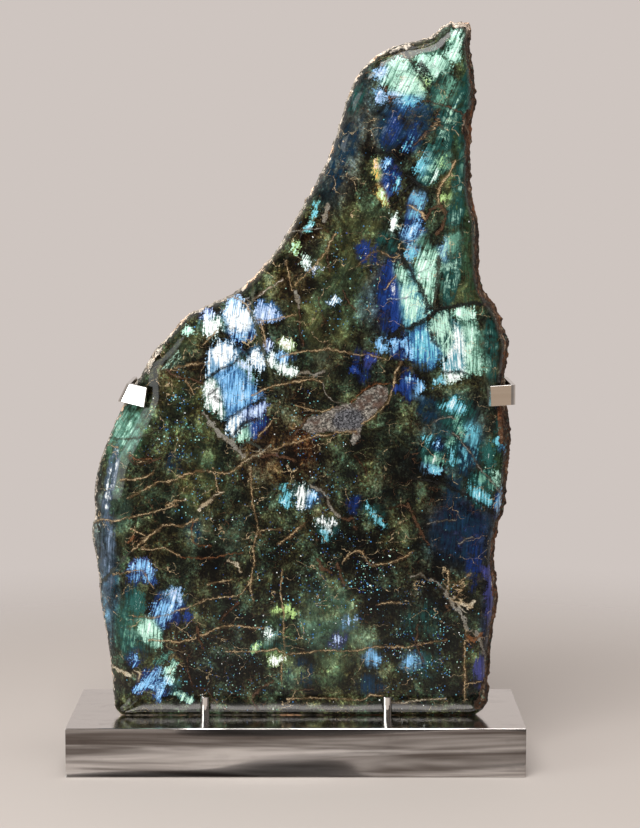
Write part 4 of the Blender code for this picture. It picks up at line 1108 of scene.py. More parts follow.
@dataclass(frozen=True)
class LabradoriteFinish:
    """Finish of the stone, with lengths in millimetres and crystals per millimetre.

    The sways are how far blotches, crumbs and stripes push the edge of a flash about, with the
    shift that goes with each.
    """

    name: str = "labradorite"
    polish: float = 0.09
    gloss: float = 0.24
    rock_roughness: float = 0.82
    seam_dullness: float = 0.30
    sugar_dullness: float = 0.22
    crystal: float = 0.62
    sugar_crystal: float = 0.9
    rock_crystal: float = 0.48
    deep_sparkle: Sparkle = Sparkle(0.34, 0.24, 0.80)
    high_sparkle: Sparkle = Sparkle(0.34 * 1.7, 0.30, 0.60)
    sways: tuple[Place, Place, Place] = ((12.0, -4.8), (11.0, -5.5), (9.0, -4.5))
    seam_wobble: float = 5.0
    seam_jag: float = 2.6
    hairline_bend: float = 26.0
    edge_sway: float = 7.0
    relief_strength: float = 0.9
    relief_height: float = 9.0
    pit_share: float = 0.02

    def grey(self, nodes: Nodes, level: object) -> Socket:
        """Makes a grey of a level.

        Args:
            nodes: helper of the material.
            level: how bright it is.

        Returns:
            The grey.
        """
        node = nodes.add("CombineColor")
        for slot in range(3):
            nodes.feed(node, slot, level)
        return node.outputs[0]

    def lamellae(self, nodes: Nodes) -> tuple[Socket, Socket]:
        """Fine and broad stripes along the grain.

        Args:
            nodes: helper of the material.

        Returns:
            Values of about 0 to 1 of the fine and of the broad stripes.
        """
        grain = nodes.attribute("grain").outputs["Vector"]
        fine = nodes.noise(nodes.stretch(grain, (0.62, 0.045, 1)), 1.0, 4, 0.7)
        broad = nodes.noise(nodes.stretch(grain, (0.17, 0.030, 1)), 1.0, 2, 0.5)
        return fine, broad

    def cells(self, nodes: Nodes, place: object, scale: float) -> tuple[Socket, list[Socket]]:
        """Crystal grains.

        Args:
            nodes: helper of the material.
            place: coordinates in millimetres.
            scale: grains per millimetre.

        Returns:
            Distance to each grain's middle, and three random numbers for each grain.
        """
        cells = nodes.add("TexVoronoi", feature="F1", distance="EUCLIDEAN")
        nodes.feed(cells, "Vector", place)
        nodes.feed(cells, "Scale", scale)
        return cells.outputs["Distance"], nodes.split(cells.outputs["Color"])

    def ground(self, nodes: Nodes, place: object, fine: object) -> Socket:
        """Dark ground: granular in places and glassy in others.

        Args:
            nodes: helper of the material.
            place: coordinates in millimetres.
            fine: fine stripes.

        Returns:
            The ground's colour.
        """
        tint = nodes.attribute("ground").outputs["Color"]
        glassy = nodes.attribute("glassy").outputs["Fac"]
        patchy = nodes.noise(place, 0.055, 4, 0.6, 0.8)
        glassy = nodes.product(glassy, nodes.step(0.36, 0.56, patchy, 0.25, 1.0))
        cloudy = nodes.noise(nodes.stretch(place, (1.0, 1.0, 0.8)), 0.062, 9, 0.76, 0.3)
        grainy = nodes.noise(place, 0.50, 4, 0.75)
        base = nodes.math("MULTIPLY_ADD", cloudy, 1.25, -0.445)
        depth = nodes.math("MULTIPLY_ADD", grainy, 0.60, base)
        raw = self.ramp(nodes, depth, "LINEAR", RAW_GROUND)
        base = nodes.math("MULTIPLY_ADD", cloudy, 1.0, -0.265)
        lean = nodes.math("MULTIPLY_ADD", fine, 0.5, base)
        clear = self.ramp(nodes, lean, "LINEAR", CLEAR_GROUND)
        shaded = nodes.mix(glassy, raw, clear)
        even = nodes.mix(1.0, tint, tuple(1 / part for part in MEAN_GROUND), "MULTIPLY")
        shaded = nodes.mix(1.0, shaded, even, "MULTIPLY")
        drift = nodes.noise(place, 0.028, 4, 0.6)
        warm = nodes.mix(1.0, shaded, WARMER, "MULTIPLY")
        cool = nodes.mix(1.0, shaded, COOLER, "MULTIPLY")
        shaded = nodes.mix(nodes.step(0.42, 0.58, drift), warm, cool)
        _, facet = self.cells(nodes, place, self.crystal)
        specks = self.ramp(nodes, facet[1], "CONSTANT", SPECKS)
        grit = nodes.product(nodes.math("SUBTRACT", 1.0, glassy), 0.7)
        return nodes.mix(grit, shaded, nodes.mix(1.0, shaded, specks, "MULTIPLY"))

    def ramp(self, nodes: Nodes, value: object, blend: str, stops: Ramp) -> Socket:
        """Turns a value into a colour.

        Args:
            nodes: helper of the material.
            value: what is turned.
            blend: how the colours blend, LINEAR or CONSTANT.
            stops: positions and their colours.

        Returns:
            The colour.
        """
        ramp = nodes.add("ValToRGB")
        ramp.color_ramp.interpolation = blend
        ramp.color_ramp.elements.remove(ramp.color_ramp.elements[1])
        for k, (at, tone) in enumerate(stops):
            element = ramp.color_ramp.elements[0] if k == 0 else ramp.color_ramp.elements.new(at)
            element.position = at
            element.color = (*tone, 1.0)
        nodes.feed(ramp, 0, value)
        return ramp.outputs[0]

    def sparkles(self, nodes: Nodes, place: object, colour: object, kind: Sparkle) -> Socket:
        """Adds small crystals that catch the light.

        Args:
            nodes: helper of the material.
            place: coordinates in millimetres.
            colour: what they are laid over.
            kind: how close, large and frequent they are.

        Returns:
            The colour with the sparkles.
        """
        distance, chance = self.cells(nodes, place, kind.scale)
        density = nodes.attribute("sparkle").outputs["Fac"]
        clumps = nodes.step(0.42, 0.64, nodes.noise(place, 0.075, 3, 0.6), 0.05, 1.6)
        wanted = nodes.math("MULTIPLY_ADD", density, kind.share, 0.02 * kind.share)
        there = nodes.math("LESS_THAN", chance[0], nodes.product(wanted, clumps))
        radius = nodes.math("MULTIPLY_ADD", chance[1], kind.size, kind.size * 0.4)
        shape = nodes.math("DIVIDE", distance, radius)
        bright = nodes.math("MULTIPLY_ADD", chance[1], 0.6, 0.55)
        dot = nodes.product(nodes.step(0.5, 1.0, shape, 1.0, 0.0), there, bright)
        return nodes.mix(dot, colour, self.ramp(nodes, chance[2], "CONSTANT", SPARKLE_TONES))

    def shine(self, nodes: Nodes, place: object, colour: object, fine: object,
              broad: object) -> Socket:
        """Lays the play of colour of the lamellae over the ground, and the painted highlights of the
        left-shoulder glows.

        Args:
            nodes: helper of the material.
            place: coordinates in millimetres.
            colour: what it is laid over.
            fine: fine stripes.
            broad: broad stripes.

        Returns:
            The colour with the play of colour.
        """
        reach, dim, glow = nodes.split(nodes.attribute("shine").outputs["Vector"])
        blotches = nodes.noise(place, 0.15, 3, 0.6)
        crumbs = nodes.noise(place, 0.60, 4, 0.72)
        for pattern, (width, shift) in zip((blotches, crumbs, fine), self.sways):
            reach = nodes.math("MULTIPLY_ADD", pattern, width, nodes.math("ADD", reach, shift))
        border = nodes.step(-1.0, 1.4, reach)
        inner = nodes.step(-1.0, nodes.math("ADD", dim, 1.0), reach, 0.52, 1.0)
        soft = nodes.product(glow, nodes.step(0.34, 0.64, blotches, 0.45, 1.15))
        level = nodes.math("MAXIMUM", nodes.product(border, inner), soft)
        streaks = nodes.step(0.33, 0.64, fine, 0.48, 1.34)
        bands = nodes.step(0.34, 0.66, broad, 0.72, 1.15)
        pits = nodes.step(0.60, 0.66, nodes.noise(place, 0.85, 4, 0.68), 1.0, 0.35)
        level = nodes.product(level, streaks, bands, pits)
        rim = nodes.attribute("shine_rim").outputs["Color"]
        core = nodes.attribute("shine_core").outputs["Color"]
        shade = self.grey(nodes, nodes.math("MULTIPLY_ADD", level, 1.25, 0.06))
        hue = nodes.mix(1.0, rim, shade, "MULTIPLY")
        shown = nodes.mix(nodes.step(0.05, 0.36, level), colour, hue)
        light = self.grey(nodes, nodes.step(0.45, 1.05, level, 0.62, 1.05))
        lit = nodes.mix(1.0, core, light, "MULTIPLY")
        shown = nodes.mix(nodes.step(0.42, 0.84, level), shown, lit)
        return nodes.mix(nodes.step(1.0, 1.45, level, 0.0, 0.85), shown, W.colour)

    def seams(self, nodes: Nodes, place: object, colour: object) -> tuple[Socket, Socket]:
        """Lays the healed cracks over everything else.

        Args:
            nodes: helper of the material.
            place: coordinates in millimetres.
            colour: what they are laid over.

        Returns:
            The colour with the seams, and their mask.
        """
        side, near, half = nodes.split(nodes.attribute("seam").outputs["Vector"])
        tint = nodes.attribute("seam_tint").outputs["Color"]
        wobble = nodes.sway(nodes.noise(place, 0.26, 3, 0.6), self.seam_wobble)
        jag = nodes.sway(nodes.noise(place, 1.1, 3, 0.6), self.seam_jag)
        bent = nodes.math("ABSOLUTE", nodes.math("ADD", nodes.math("ADD", wobble, jag), side))
        bulk = nodes.step(1.15, 2.0, half)
        swell = nodes.step(0.32, 0.68, nodes.noise(place, 0.16, 3, 0.6), 0.25, 1.5)
        share = nodes.math("MULTIPLY_ADD", bulk, 0.50, 0.20)
        core_half = nodes.product(half, share, swell)
        core = nodes.step(core_half, nodes.math("ADD", core_half, 0.42), bent, 1.0, 0.0)
        halo_half = nodes.product(nodes.math("MULTIPLY_ADD", half, 0.8, 0.1), swell)
        halo = nodes.step(halo_half, nodes.math("ADD", halo_half, 1.1), bent, 1.0, 0.0)
        past = nodes.math("ADD", half, 3.0)
        close = nodes.step(nodes.math("ADD", half, 1.6), past, near, 1.0, 0.0)
        fade = nodes.step(0.38, 0.52, nodes.noise(place, 0.10, 3, 0.6), 0.15, 1.0)
        crumbs = nodes.step(0.36, 0.54, nodes.noise(place, 0.95, 4, 0.66), 0.30, 1.0)
        core = nodes.product(core, close, crumbs, nodes.math("MAXIMUM", fade, bulk))
        halo = nodes.product(halo, close, crumbs, 0.75)
        colour = nodes.mix(halo, colour, nodes.mix(1.0, tint, HALO_STAIN, "MULTIPLY"))
        stained = nodes.step(0.44, 0.62, nodes.noise(place, 0.14, 3, 0.6), 0.0, 0.60)
        tone = nodes.mix(stained, tint, nodes.mix(1.0, tint, CORE_STAIN, "MULTIPLY"))
        speck = nodes.step(0.3, 0.75, nodes.noise(place, 1.6, 3, 0.6), 0.40, 1.30)
        tone = nodes.mix(1.0, tone, self.grey(nodes, speck), "MULTIPLY")
        mask = nodes.math("MAXIMUM", core, nodes.product(halo, 0.3))
        return nodes.mix(core, colour, tone), mask

    def hairlines(self, nodes: Nodes, place: object, colour: object) -> Socket:
        """Adds fine broken cracks all over.

        Args:
            nodes: helper of the material.
            place: coordinates in millimetres.
            colour: what they are laid over.

        Returns:
            The colour with the cracks.
        """
        bend = nodes.add("TexNoise")
        for slot, value in (("Vector", place), ("Scale", 0.05), ("Detail", 3.0), ("Roughness", 0.55)):
            nodes.feed(bend, slot, value)
        for hair in HAIRLINES:
            shift = nodes.add("VectorMath", operation="ADD")
            nodes.feed(shift, 0, place)
            nodes.feed(shift, 1, (hair.shift,) * 3)
            moved = nodes.add("VectorMath", operation="MULTIPLY_ADD")
            nodes.feed(moved, 0, bend.outputs["Color"])
            nodes.feed(moved, 1, (self.hairline_bend,) * 3)
            nodes.feed(moved, 2, shift.outputs[0])
            crack = nodes.add("TexVoronoi", feature="DISTANCE_TO_EDGE")
            nodes.feed(crack, "Vector", nodes.stretch(moved.outputs[0], (0.62, 1.0, 1.3)))
            nodes.feed(crack, "Scale", hair.scale)
            line = nodes.step(hair.width * 0.3, hair.width, crack.outputs["Distance"], 1.0, 0.0)
            gaps = nodes.noise(shift.outputs[0], 0.05, 4, 0.65)
            broken = nodes.step(hair.gaps, hair.gaps + 0.08, gaps)
            crumbs = nodes.step(0.40, 0.60, nodes.noise(place, 0.9, 3, 0.6), 0.1, 1.0)
            colour = nodes.mix(nodes.product(line, broken, crumbs, 0.75), colour, hair.tint.colour)
        return colour

    def sugar(self, nodes: Nodes, place: object, colour: object) -> tuple[Socket, Socket]:
        """Lays the grey sugary patch of another mineral into the face.

        Args:
            nodes: helper of the material.
            place: coordinates in millimetres.
            colour: what it is laid over.

        Returns:
            The colour with the patch, and its mask.
        """
        reach, core, _ = nodes.split(nodes.attribute("sugar").outputs["Vector"])
        ragged = nodes.sway(nodes.noise(place, 0.35, 5, 0.65), self.edge_sway)
        mask = nodes.step(-0.4, 0.8, nodes.math("ADD", reach, ragged))
        heart = nodes.step(-2.5, 2.5, nodes.math("ADD", core, ragged))
        _, facet = self.cells(nodes, place, self.sugar_crystal)
        mottle = nodes.step(0.34, 0.66, nodes.noise(place, 0.30, 5, 0.7), 0.45, 1.35)
        pale = nodes.mix(nodes.step(0.1, 0.9, facet[0]), *SUGAR_PALE)
        dark = nodes.mix(nodes.step(0.1, 0.95, facet[0]), *SUGAR_DARK)
        red = nodes.step(0.46, 0.62, nodes.noise(place, 0.11, 4, 0.65), 0.0, 0.85)
        pale = nodes.mix(red, pale, SUGAR_RED)
        shown = nodes.mix(1.0, nodes.mix(heart, pale, dark), self.grey(nodes, mottle), "MULTIPLY")
        return nodes.mix(mask, colour, shown), mask

    def rock(self, nodes: Nodes, place: object) -> Socket:
        """Colour of the broken rim and back.

        Args:
            nodes: helper of the material.
            place: coordinates in millimetres.

        Returns:
            The rock's colour.
        """
        tint = nodes.attribute("rock").outputs["Color"]
        _, facet = self.cells(nodes, place, self.rock_crystal)
        patches = nodes.step(0.35, 0.65, nodes.noise(place, 0.045, 9, 0.70, 0.4), 0.30, 1.75)
        level = nodes.product(nodes.step(0.0, 1.0, facet[0], 0.6, 1.4), patches)
        shaded = nodes.mix(1.0, tint, self.grey(nodes, level), "MULTIPLY")
        stain = nodes.step(0.52, 0.66, nodes.noise(place, 0.045, 4, 0.6, 0.5), 0.0, 0.6)
        shaded = nodes.mix(stain, shaded, nodes.mix(1.0, shaded, RUSTIER, "MULTIPLY"))
        gleam = nodes.step(0.86, 0.96, facet[1], 0.0, 0.5)
        shaded = nodes.mix(gleam, shaded, nodes.mix(facet[2], PETROL.colour, S.colour))
        crumbs = nodes.noise(place, 0.10, 9, 0.70, 0.6)
        shaded = nodes.mix(nodes.step(0.40, 0.49, crumbs, 0.85, 0.0), shaded, NIGHT.colour)
        flaky = nodes.step(0.55, 0.63, crumbs, 0.0, 0.80)
        return nodes.mix(flaky, shaded, nodes.mix(facet[2], RUST.colour, CREAM.colour))

    def build(self) -> bpy.types.Material:
        """Makes the material.

        Returns:
            The material.
        """
        material, nodes, shader = new_material(self.name)
        place = nodes.stretch(nodes.add("TexCoord").outputs["Object"], (1000, 1000, 1000))
        fine, broad = self.lamellae(nodes)
        colour = self.ground(nodes, place, fine)
        colour = self.sparkles(nodes, place, colour, self.deep_sparkle)
        colour = self.shine(nodes, place, colour, fine, broad)
        colour = self.sparkles(nodes, place, colour, self.high_sparkle)
        colour = self.hairlines(nodes, place, colour)
        colour, sugar = self.sugar(nodes, place, colour)
        colour, seam = self.seams(nodes, place, colour)
        polish = nodes.attribute("polish").outputs["Fac"]
        ragged = nodes.sway(nodes.noise(place, 0.30, 5, 0.65), self.edge_sway)
        smooth = nodes.step(-0.5, 0.5, nodes.math("ADD", polish, ragged))
        colour = nodes.mix(smooth, self.rock(nodes, place), colour)
        nodes.feed(shader, "Base Color", colour)
        dull_seam = nodes.product(seam, self.seam_dullness)
        dull_sugar = nodes.product(sugar, self.sugar_dullness)
        face = nodes.math("ADD", nodes.math("MAXIMUM", dull_seam, dull_sugar), self.polish)
        rough = nodes.add("Mix", data_type="FLOAT")
        for slot, given in ((0, smooth), (2, self.rock_roughness), (3, face)):
            nodes.feed(rough, slot, given)
        nodes.feed(shader, "Roughness", rough.outputs[0])
        shader.inputs["Specular IOR Level"].default_value = self.gloss
        nodes.feed(shader, "Normal", self.relief(nodes, place, smooth, seam, sugar))
        return material

    def relief(self, nodes: Nodes, place: object, smooth: object, seam: object,
               sugar: object) -> Socket:
        """Small relief of the rock, and the dull pitting of seams and sugary patch.

        Args:
            nodes: helper of the material.
            place: coordinates in millimetres.
            smooth: mask of the polished face.
            seam: mask of the seams.
            sugar: mask of the sugary patch.

        Returns:
            The bent normal.
        """
        lumps = nodes.noise(place, 0.10, 9, 0.66, 0.6)
        raw = nodes.math("SUBTRACT", 1.0, smooth)
        pits = nodes.product(nodes.noise(place, 1.6, 3, 0.6), nodes.math("MAXIMUM", seam, sugar))
        height = nodes.math("ADD", nodes.product(lumps, raw), nodes.product(pits, self.pit_share))
        bump = nodes.add("Bump")
        nodes.feed(bump, "Strength", self.relief_strength)
        nodes.feed(bump, "Distance", self.relief_height * MM)
        nodes.feed(bump, "Height", height)
        return bump.outputs[0]


@dataclass
class Stone:
    """The slab: a finer copy of its solid, polished in front and rough elsewhere.

    The flares are the widths of the broken strip along the rim, in millimetres. Below zero the
    polish runs on over the edge. A span is the two values, in millimetres, between which
    something fades from nothing to full. The shares weigh the colours of glows and flashes that
    overlap.
    """

    node: str = "labradorite_stone"
    first_cuts: int = 2
    second_cuts: int = 1
    back_lean: float = 0.88
    even_steps: int = 60
    even_share: float = 0.5
    even_edge: Span = (0.2, 2.0)
    crease: float = 50.0
    base_glassy: float = 0.15
    broken_lumps: float = 2.3 * MM
    broken_grit: float = 0.9 * MM
    back_scars: float = 5.5 * MM
    back_steps: float = 2.6 * MM
    rough_contrast: float = 2.2
    rough_edge: Span = (-0.3, 1.8)
    foot_rise: Span = (1.0, 14.0)
    back_rise: Span = (6.0, 26.0)
    halo: float = 9.0
    blend: float = 1.8
    faint: float = 1e-4
    glow_share: float = 0.3
    flash_share: float = 0.5
    flash_reach: float = -2.0
    plain_dim: float = 4.0
    seam_margin: float = 6.0
    seam_far: float = 15.0
    thin_half: float = 0.5
    sugar_margin: float = 8.0
    grain_squash: float = 0.7
    grain_shift: float = 9.0
    side_blend: Span = (0.0, 30.0)
    back_blend: Span = (-12.0, 12.0)
    right_flare: float = 5.4
    upper_flare: float = 1.6
    left_flare: float = 1.0
    foot_flare: float = -1.2
    upper_from: float = 300.0
    foot_height: float = 6.0
    behind_reach: float = -6.0
    far: float = 20.0
    finish: LabradoriteFinish = field(default_factory=LabradoriteFinish)

    def build(self) -> bpy.types.Object:
        """Makes the whole piece.

        Returns:
            The finished stone.
        """
        stone = self.copy_solid()
        self.refine(stone)
        self.classify(stone)
        self.measure(stone)
        self.even_out(stone)
        self.roughen(stone)
        self.measure(stone)
        self.paint(stone)
        stone.data.materials.clear()
        stone.data.materials.append(self.finish.build())
        make_active(stone)
        bpy.ops.object.shade_smooth_by_angle(angle=math.radians(self.crease))
        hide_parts(self.node)
        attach(stone, "root")
        return stone

    def copy_solid(self) -> bpy.types.Object:
        """Copies the stone's solid and joins its loose triangles.

        Returns:
            The copy.
        """
        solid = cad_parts[self.node]
        stone = bpy.data.objects.new("polished_slab", solid.data.copy())
        bpy.context.scene.collection.objects.link(stone)
        make_active(stone)
        bpy.ops.object.mode_set(mode="EDIT")
        bpy.ops.mesh.select_all(action="SELECT")
        bpy.ops.mesh.remove_doubles(threshold=0.01 * MM)
        bpy.ops.mesh.customdata_custom_splitnormals_clear()
        bpy.ops.mesh.normals_make_consistent(inside=False)
        bpy.ops.object.mode_set(mode="OBJECT")
        self.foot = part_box(self.node)[0].z
        return stone

    def refine(self, stone: bpy.types.Object) -> None:
        """Cuts the facets into finer ones, and all but those that face straight back once more.

        Args:
            stone: the copy.
        """
        make_active(stone)
        bpy.ops.object.mode_set(mode="EDIT")
        bpy.ops.mesh.select_all(action="SELECT")
        bpy.ops.mesh.subdivide(number_cuts=self.first_cuts)
        bpy.ops.mesh.select_mode(type="FACE")
        bpy.ops.mesh.select_all(action="DESELECT")
        bpy.ops.object.mode_set(mode="OBJECT")
        mesh = stone.data
        mesh.polygons.foreach_set("select", face_leans(mesh) < self.back_lean)
        bpy.ops.object.mode_set(mode="EDIT")
        bpy.ops.mesh.subdivide(number_cuts=self.second_cuts)
        bpy.ops.mesh.select_all(action="SELECT")
        bpy.ops.mesh.quads_convert_to_tris()
        bpy.ops.object.mode_set(mode="OBJECT")

    def classify(self, stone: bpy.types.Object) -> None:
        """Finds the points of the front and those of its rim.

        Args:
            stone: the refined copy.
        """
        mesh = stone.data
        corners = np.zeros(len(mesh.loops), dtype=int)
        mesh.loops.foreach_get("vertex_index", corners)
        lean = np.repeat(face_leans(mesh), 3)
        furthest_back = np.full(len(mesh.vertices), -1.0)
        furthest_ahead = np.full(len(mesh.vertices), 1.0)
        np.maximum.at(furthest_back, corners, lean)
        np.minimum.at(furthest_ahead, corners, lean)
        self.on_front = furthest_back < FRONT_LEAN
        self.on_rim = (furthest_back >= FRONT_LEAN) & (furthest_ahead < FRONT_LEAN)

    def measure(self, stone: bpy.types.Object) -> None:
        """Finds each point's place on the face and how far inside the polish it lies.

        Args:
            stone: the classified copy.
        """
        count = len(stone.data.vertices)
        points = np.zeros(count * 3)
        stone.data.vertices.foreach_get("co", points)
        points = points.reshape(-1, 3)
        self.places = np.stack([points[:, 0], points[:, 2] - self.foot], axis=1) / MM
        self.depth = points[:, 1]
        rim = self.places[self.on_rim]
        front = self.places[self.on_front]
        reach = np.empty(len(front))
        nearest = np.empty(len(front), dtype=int)
        block = 4000
        for first in range(0, len(front), block):
            part = front[first:first + block]
            gaps = ((part[:, None, :] - rim[None, :, :]) ** 2).sum(axis=2)
            nearest[first:first + block] = gaps.argmin(axis=1)
            reach[first:first + block] = np.sqrt(gaps.min(axis=1))
        self.polish = np.full(count, self.behind_reach)
        self.polish[self.on_front] = reach - self.flare(rim)[nearest]
        LOG.info("stone has %d points, %d in front, %d on its rim", count, len(front), len(rim))

    def flare(self, rim: np.ndarray) -> np.ndarray:
        """Width of the broken strip beside each point of the rim.

        Args:
            rim: rows of x and height.

        Returns:
            Widths in millimetres.
        """
        x, height = rim.T
        flare = np.where(height > self.upper_from, self.upper_flare, self.left_flare)
        flare = np.where(x > side_middle(height), self.right_flare, flare)
        return np.where(height < self.foot_height, self.foot_flare, flare)

    def weights(self, stone: bpy.types.Object, name: str, values: np.ndarray) -> None:
        """Makes a vertex group of given weights, in steps of a tenth.

        Args:
            stone: the stone.
            name: the group's name.
            values: one weight for each point.
        """
        group = stone.vertex_groups.new(name=name)
        levels = np.round(values * 10).astype(int)
        for level in range(1, 11):
            group.add(np.flatnonzero(levels == level).tolist(), level / 10, "REPLACE")

    def even_out(self, stone: bpy.types.Object) -> None:
        """Takes the facets out of the polished face.

        Args:
            stone: the stone.
        """
        self.weights(stone, "polished", smooth_step(*self.even_edge, self.polish))
        make_active(stone)
        even = stone.modifiers.new("even", "SMOOTH")
        even.factor = self.even_share
        even.iterations = self.even_steps
        even.vertex_group = "polished"
        bpy.ops.object.modifier_apply(modifier=even.name)

    def roughen(self, stone: bpy.types.Object) -> None:
        """Breaks up the rim and the back with lumps, scars, steps and grit, always inwards.

        Args:
            stone: the stone.
        """
        height = self.places[:, 1]
        raw = smooth_step(*self.rough_edge, -self.polish) * smooth_step(*self.foot_rise, height)
        self.weights(stone, "broken", raw)
        behind = raw * smooth_step(*self.back_rise, self.depth / MM)
        self.weights(stone, "broken_back", behind)
        make_active(stone)
        for name, kind, size, depth, group in (
                ("lumps", "CLOUDS", 7 * MM, self.broken_lumps, "broken"),
                ("scars", "VORONOI", 34 * MM, self.back_scars, "broken_back"),
                ("steps", "VORONOI", 12 * MM, self.back_steps, "broken_back"),
                ("grit", "CLOUDS", 3.2 * MM, self.broken_grit, "broken")):
            texture = bpy.data.textures.new(name, kind)
            texture.noise_scale = size
            if kind == "CLOUDS":
                texture.noise_depth = 3
                texture.contrast = self.rough_contrast
            push = stone.modifiers.new(name, "DISPLACE")
            push.texture = texture
            push.texture_coords = "LOCAL"
            push.mid_level = 1.0
            push.strength = depth
            push.vertex_group = group
            bpy.ops.object.modifier_apply(modifier=push.name)

    def paint(self, stone: bpy.types.Object) -> None:
        """Writes the layout of colours and seams into the mesh's attributes.

        Args:
            stone: the stone.
        """
        ground = np.tile((*Tint.HEATH.colour, self.base_glassy), (len(self.places), 1))
        for cloud in CLOUDS:
            weight = oval_weight(self.places, cloud)[:, None]
            ground = ground * (1 - weight) + np.array((*cloud.tint.colour, cloud.glassy)) * weight
        self.store_colour(stone, "ground", ground[:, :3])
        self.store_value(stone, "glassy", ground[:, 3])
        sparkle = np.zeros(len(self.places))
        for zone in SPARKLE_ZONES:
            sparkle = np.maximum(sparkle, oval_weight(self.places, zone))
        self.store_value(stone, "sparkle", sparkle)
        self.store_value(stone, "polish", self.polish)
        self.paint_glow(stone)
        self.paint_seams(stone)
        self.paint_sugar(stone)
        self.paint_grain(stone)
        self.paint_rock(stone)

    def paint_glow(self, stone: bpy.types.Object) -> None:
        """Writes how far each point lies inside a flash, how it glows, and its two colours.

        Args:
            stone: the stone.
        """
        count = len(self.places)
        glow_level = np.zeros(count)
        parts = np.full(count, self.faint)
        rim = np.tile(np.array(Tint.PETROL.colour) * self.faint, (count, 1))
        core = np.tile(np.array(Tint.TEAL.colour) * self.faint, (count, 1))
        for glow in GLOWS:
            weight = oval_weight(self.places, glow)
            glow_level = np.maximum(glow_level, weight)
            share = weight ** 3 * self.glow_share
            parts += share
            rim += share[:, None] * np.array(glow.rim.colour)
            core += share[:, None] * np.array(glow.core.colour)
        joined = np.full(count, math.exp(-self.halo / self.blend))
        dim = np.full(count, self.plain_dim)
        for flash in FLASHES:
            near = near_box(self.places, flash.outline, self.halo)
            inside = outline_reach(self.places[near], flash.outline)
            weight = np.exp(np.clip(inside, -self.halo, self.halo) / self.blend)
            joined[near] += weight
            share = self.flash_share * weight * smooth_step(-self.halo, 0.0, inside)
            parts[near] += share
            rim[near] += share[:, None] * np.array(flash.rim.colour)
            core[near] += share[:, None] * np.array(flash.core.colour)
            dim[near] = np.where(inside > self.flash_reach, flash.depth, dim[near])
        reach = self.blend * np.log(joined)
        self.store_vector(stone, "shine", np.stack([reach, dim, glow_level], axis=1))
        self.store_colour(stone, "shine_rim", rim / parts[:, None])
        self.store_colour(stone, "shine_core", core / parts[:, None])

    def paint_seams(self, stone: bpy.types.Object) -> None:
        """Writes the seams: sideways distance, distance, half width, and colour.

        Args:
            stone: the stone.
        """
        count = len(self.places)
        seam_rows = np.tile((self.far, self.far, self.thin_half), (count, 1))
        best = np.full(count, self.seam_far)
        tint = np.tile(Tint.TAN.colour, (count, 1))
        for seam in SEAMS:
            near = near_box(self.places, seam.line, self.seam_margin + seam.width)
            spots = self.places[near]
            gap = np.full(len(near), np.inf)
            side = np.zeros(len(near))
            for start, end in zip(seam.line, seam.line[1:]):
                segment, sideways = segment_gap(spots, np.array(start, float),
                                                np.array(end, float))
                closer = segment < gap
                gap = np.where(closer, segment, gap)
                side = np.where(closer, sideways, side)
            edge = gap - seam.width / 2
            better = edge < best[near]
            chosen = near[better]
            best[chosen] = edge[better]
            seam_rows[chosen, 0] = side[better]
            seam_rows[chosen, 1] = gap[better]
            seam_rows[chosen, 2] = seam.width / 2
            tint[chosen] = seam.tint.colour
        self.store_vector(stone, "seam", seam_rows)
        self.store_colour(stone, "seam_tint", tint)

    def paint_sugar(self, stone: bpy.types.Object) -> None:
        """Writes the reach into the sugary patch and into its dark core.

        Args:
            stone: the stone.
        """
        rows = np.full((len(self.places), 3), -self.far)
        near = near_box(self.places, SUGAR_PATCH, self.sugar_margin)
        rows[near, 0] = outline_reach(self.places[near], SUGAR_PATCH)
        rows[near, 1] = outline_reach(self.places[near], SUGAR_CORE)
        self.store_vector(stone, "sugar", rows)

    def paint_grain(self, stone: bpy.types.Object) -> None:
        """Writes coordinates across and along the lamellae of the nearest stretch of grain.

        Args:
            stone: the stone.
        """
        middles = np.array([grain.middle for grain in GRAINS], dtype=float)
        leans = np.radians([grain.lean for grain in GRAINS])
        gaps = np.hypot(self.places[:, None, 0] - middles[None, :, 0],
                        (self.places[:, None, 1] - middles[None, :, 1]) * self.grain_squash)
        nearest = gaps.argmin(axis=1)
        offset = self.places - middles[nearest]
        lean = leans[nearest]
        across = offset[:, 0] * np.sin(lean) - offset[:, 1] * np.cos(lean)
        along = offset[:, 0] * np.cos(lean) + offset[:, 1] * np.sin(lean)
        shifts = nearest * self.grain_shift
        self.store_vector(stone, "grain", np.stack([across, along, shifts], axis=1))

    def paint_rock(self, stone: bpy.types.Object) -> None:
        """Writes the rock's colour: brown at the right, pale along the left rim, grey behind.

        Args:
            stone: the stone.
        """
        x, height = self.places.T
        right = smooth_step(*self.side_blend, x - side_middle(height))[:, None]
        behind = smooth_step(*self.back_blend, self.depth / MM)[:, None]
        edge = np.array(Tint.BONE.colour) * (1 - right) + np.array(Tint.BROWN.colour) * right
        rock = edge * (1 - behind) + np.array(ROCK_BACK) * behind
        self.store_colour(stone, "rock", rock)

    def store_value(self, stone: bpy.types.Object, name: str, values: np.ndarray) -> None:
        """Stores one number for each point of the stone as a named attribute."""
        layer = stone.data.attributes.new(name, "FLOAT", "POINT")
        layer.data.foreach_set("value", values.astype(np.float32))

    def store_vector(self, stone: bpy.types.Object, name: str, rows: np.ndarray) -> None:
        """Stores a row of three numbers for each point of the stone as a named attribute."""
        layer = stone.data.attributes.new(name, "FLOAT_VECTOR", "POINT")
        layer.data.foreach_set("vector", rows.astype(np.float32).ravel())

    def store_colour(self, stone: bpy.types.Object, name: str, rows: np.ndarray) -> None:
        """Stores a colour for each point.

        Args:
            stone: the stone.
            name: the attribute's name.
            rows: rows of red, green and blue.
        """
        layer = stone.data.attributes.new(name, "FLOAT_COLOR", "POINT")
        full = np.concatenate([rows, np.ones((len(rows), 1))], axis=1)
        layer.data.foreach_set("color", full.astype(np.float32).ravel())


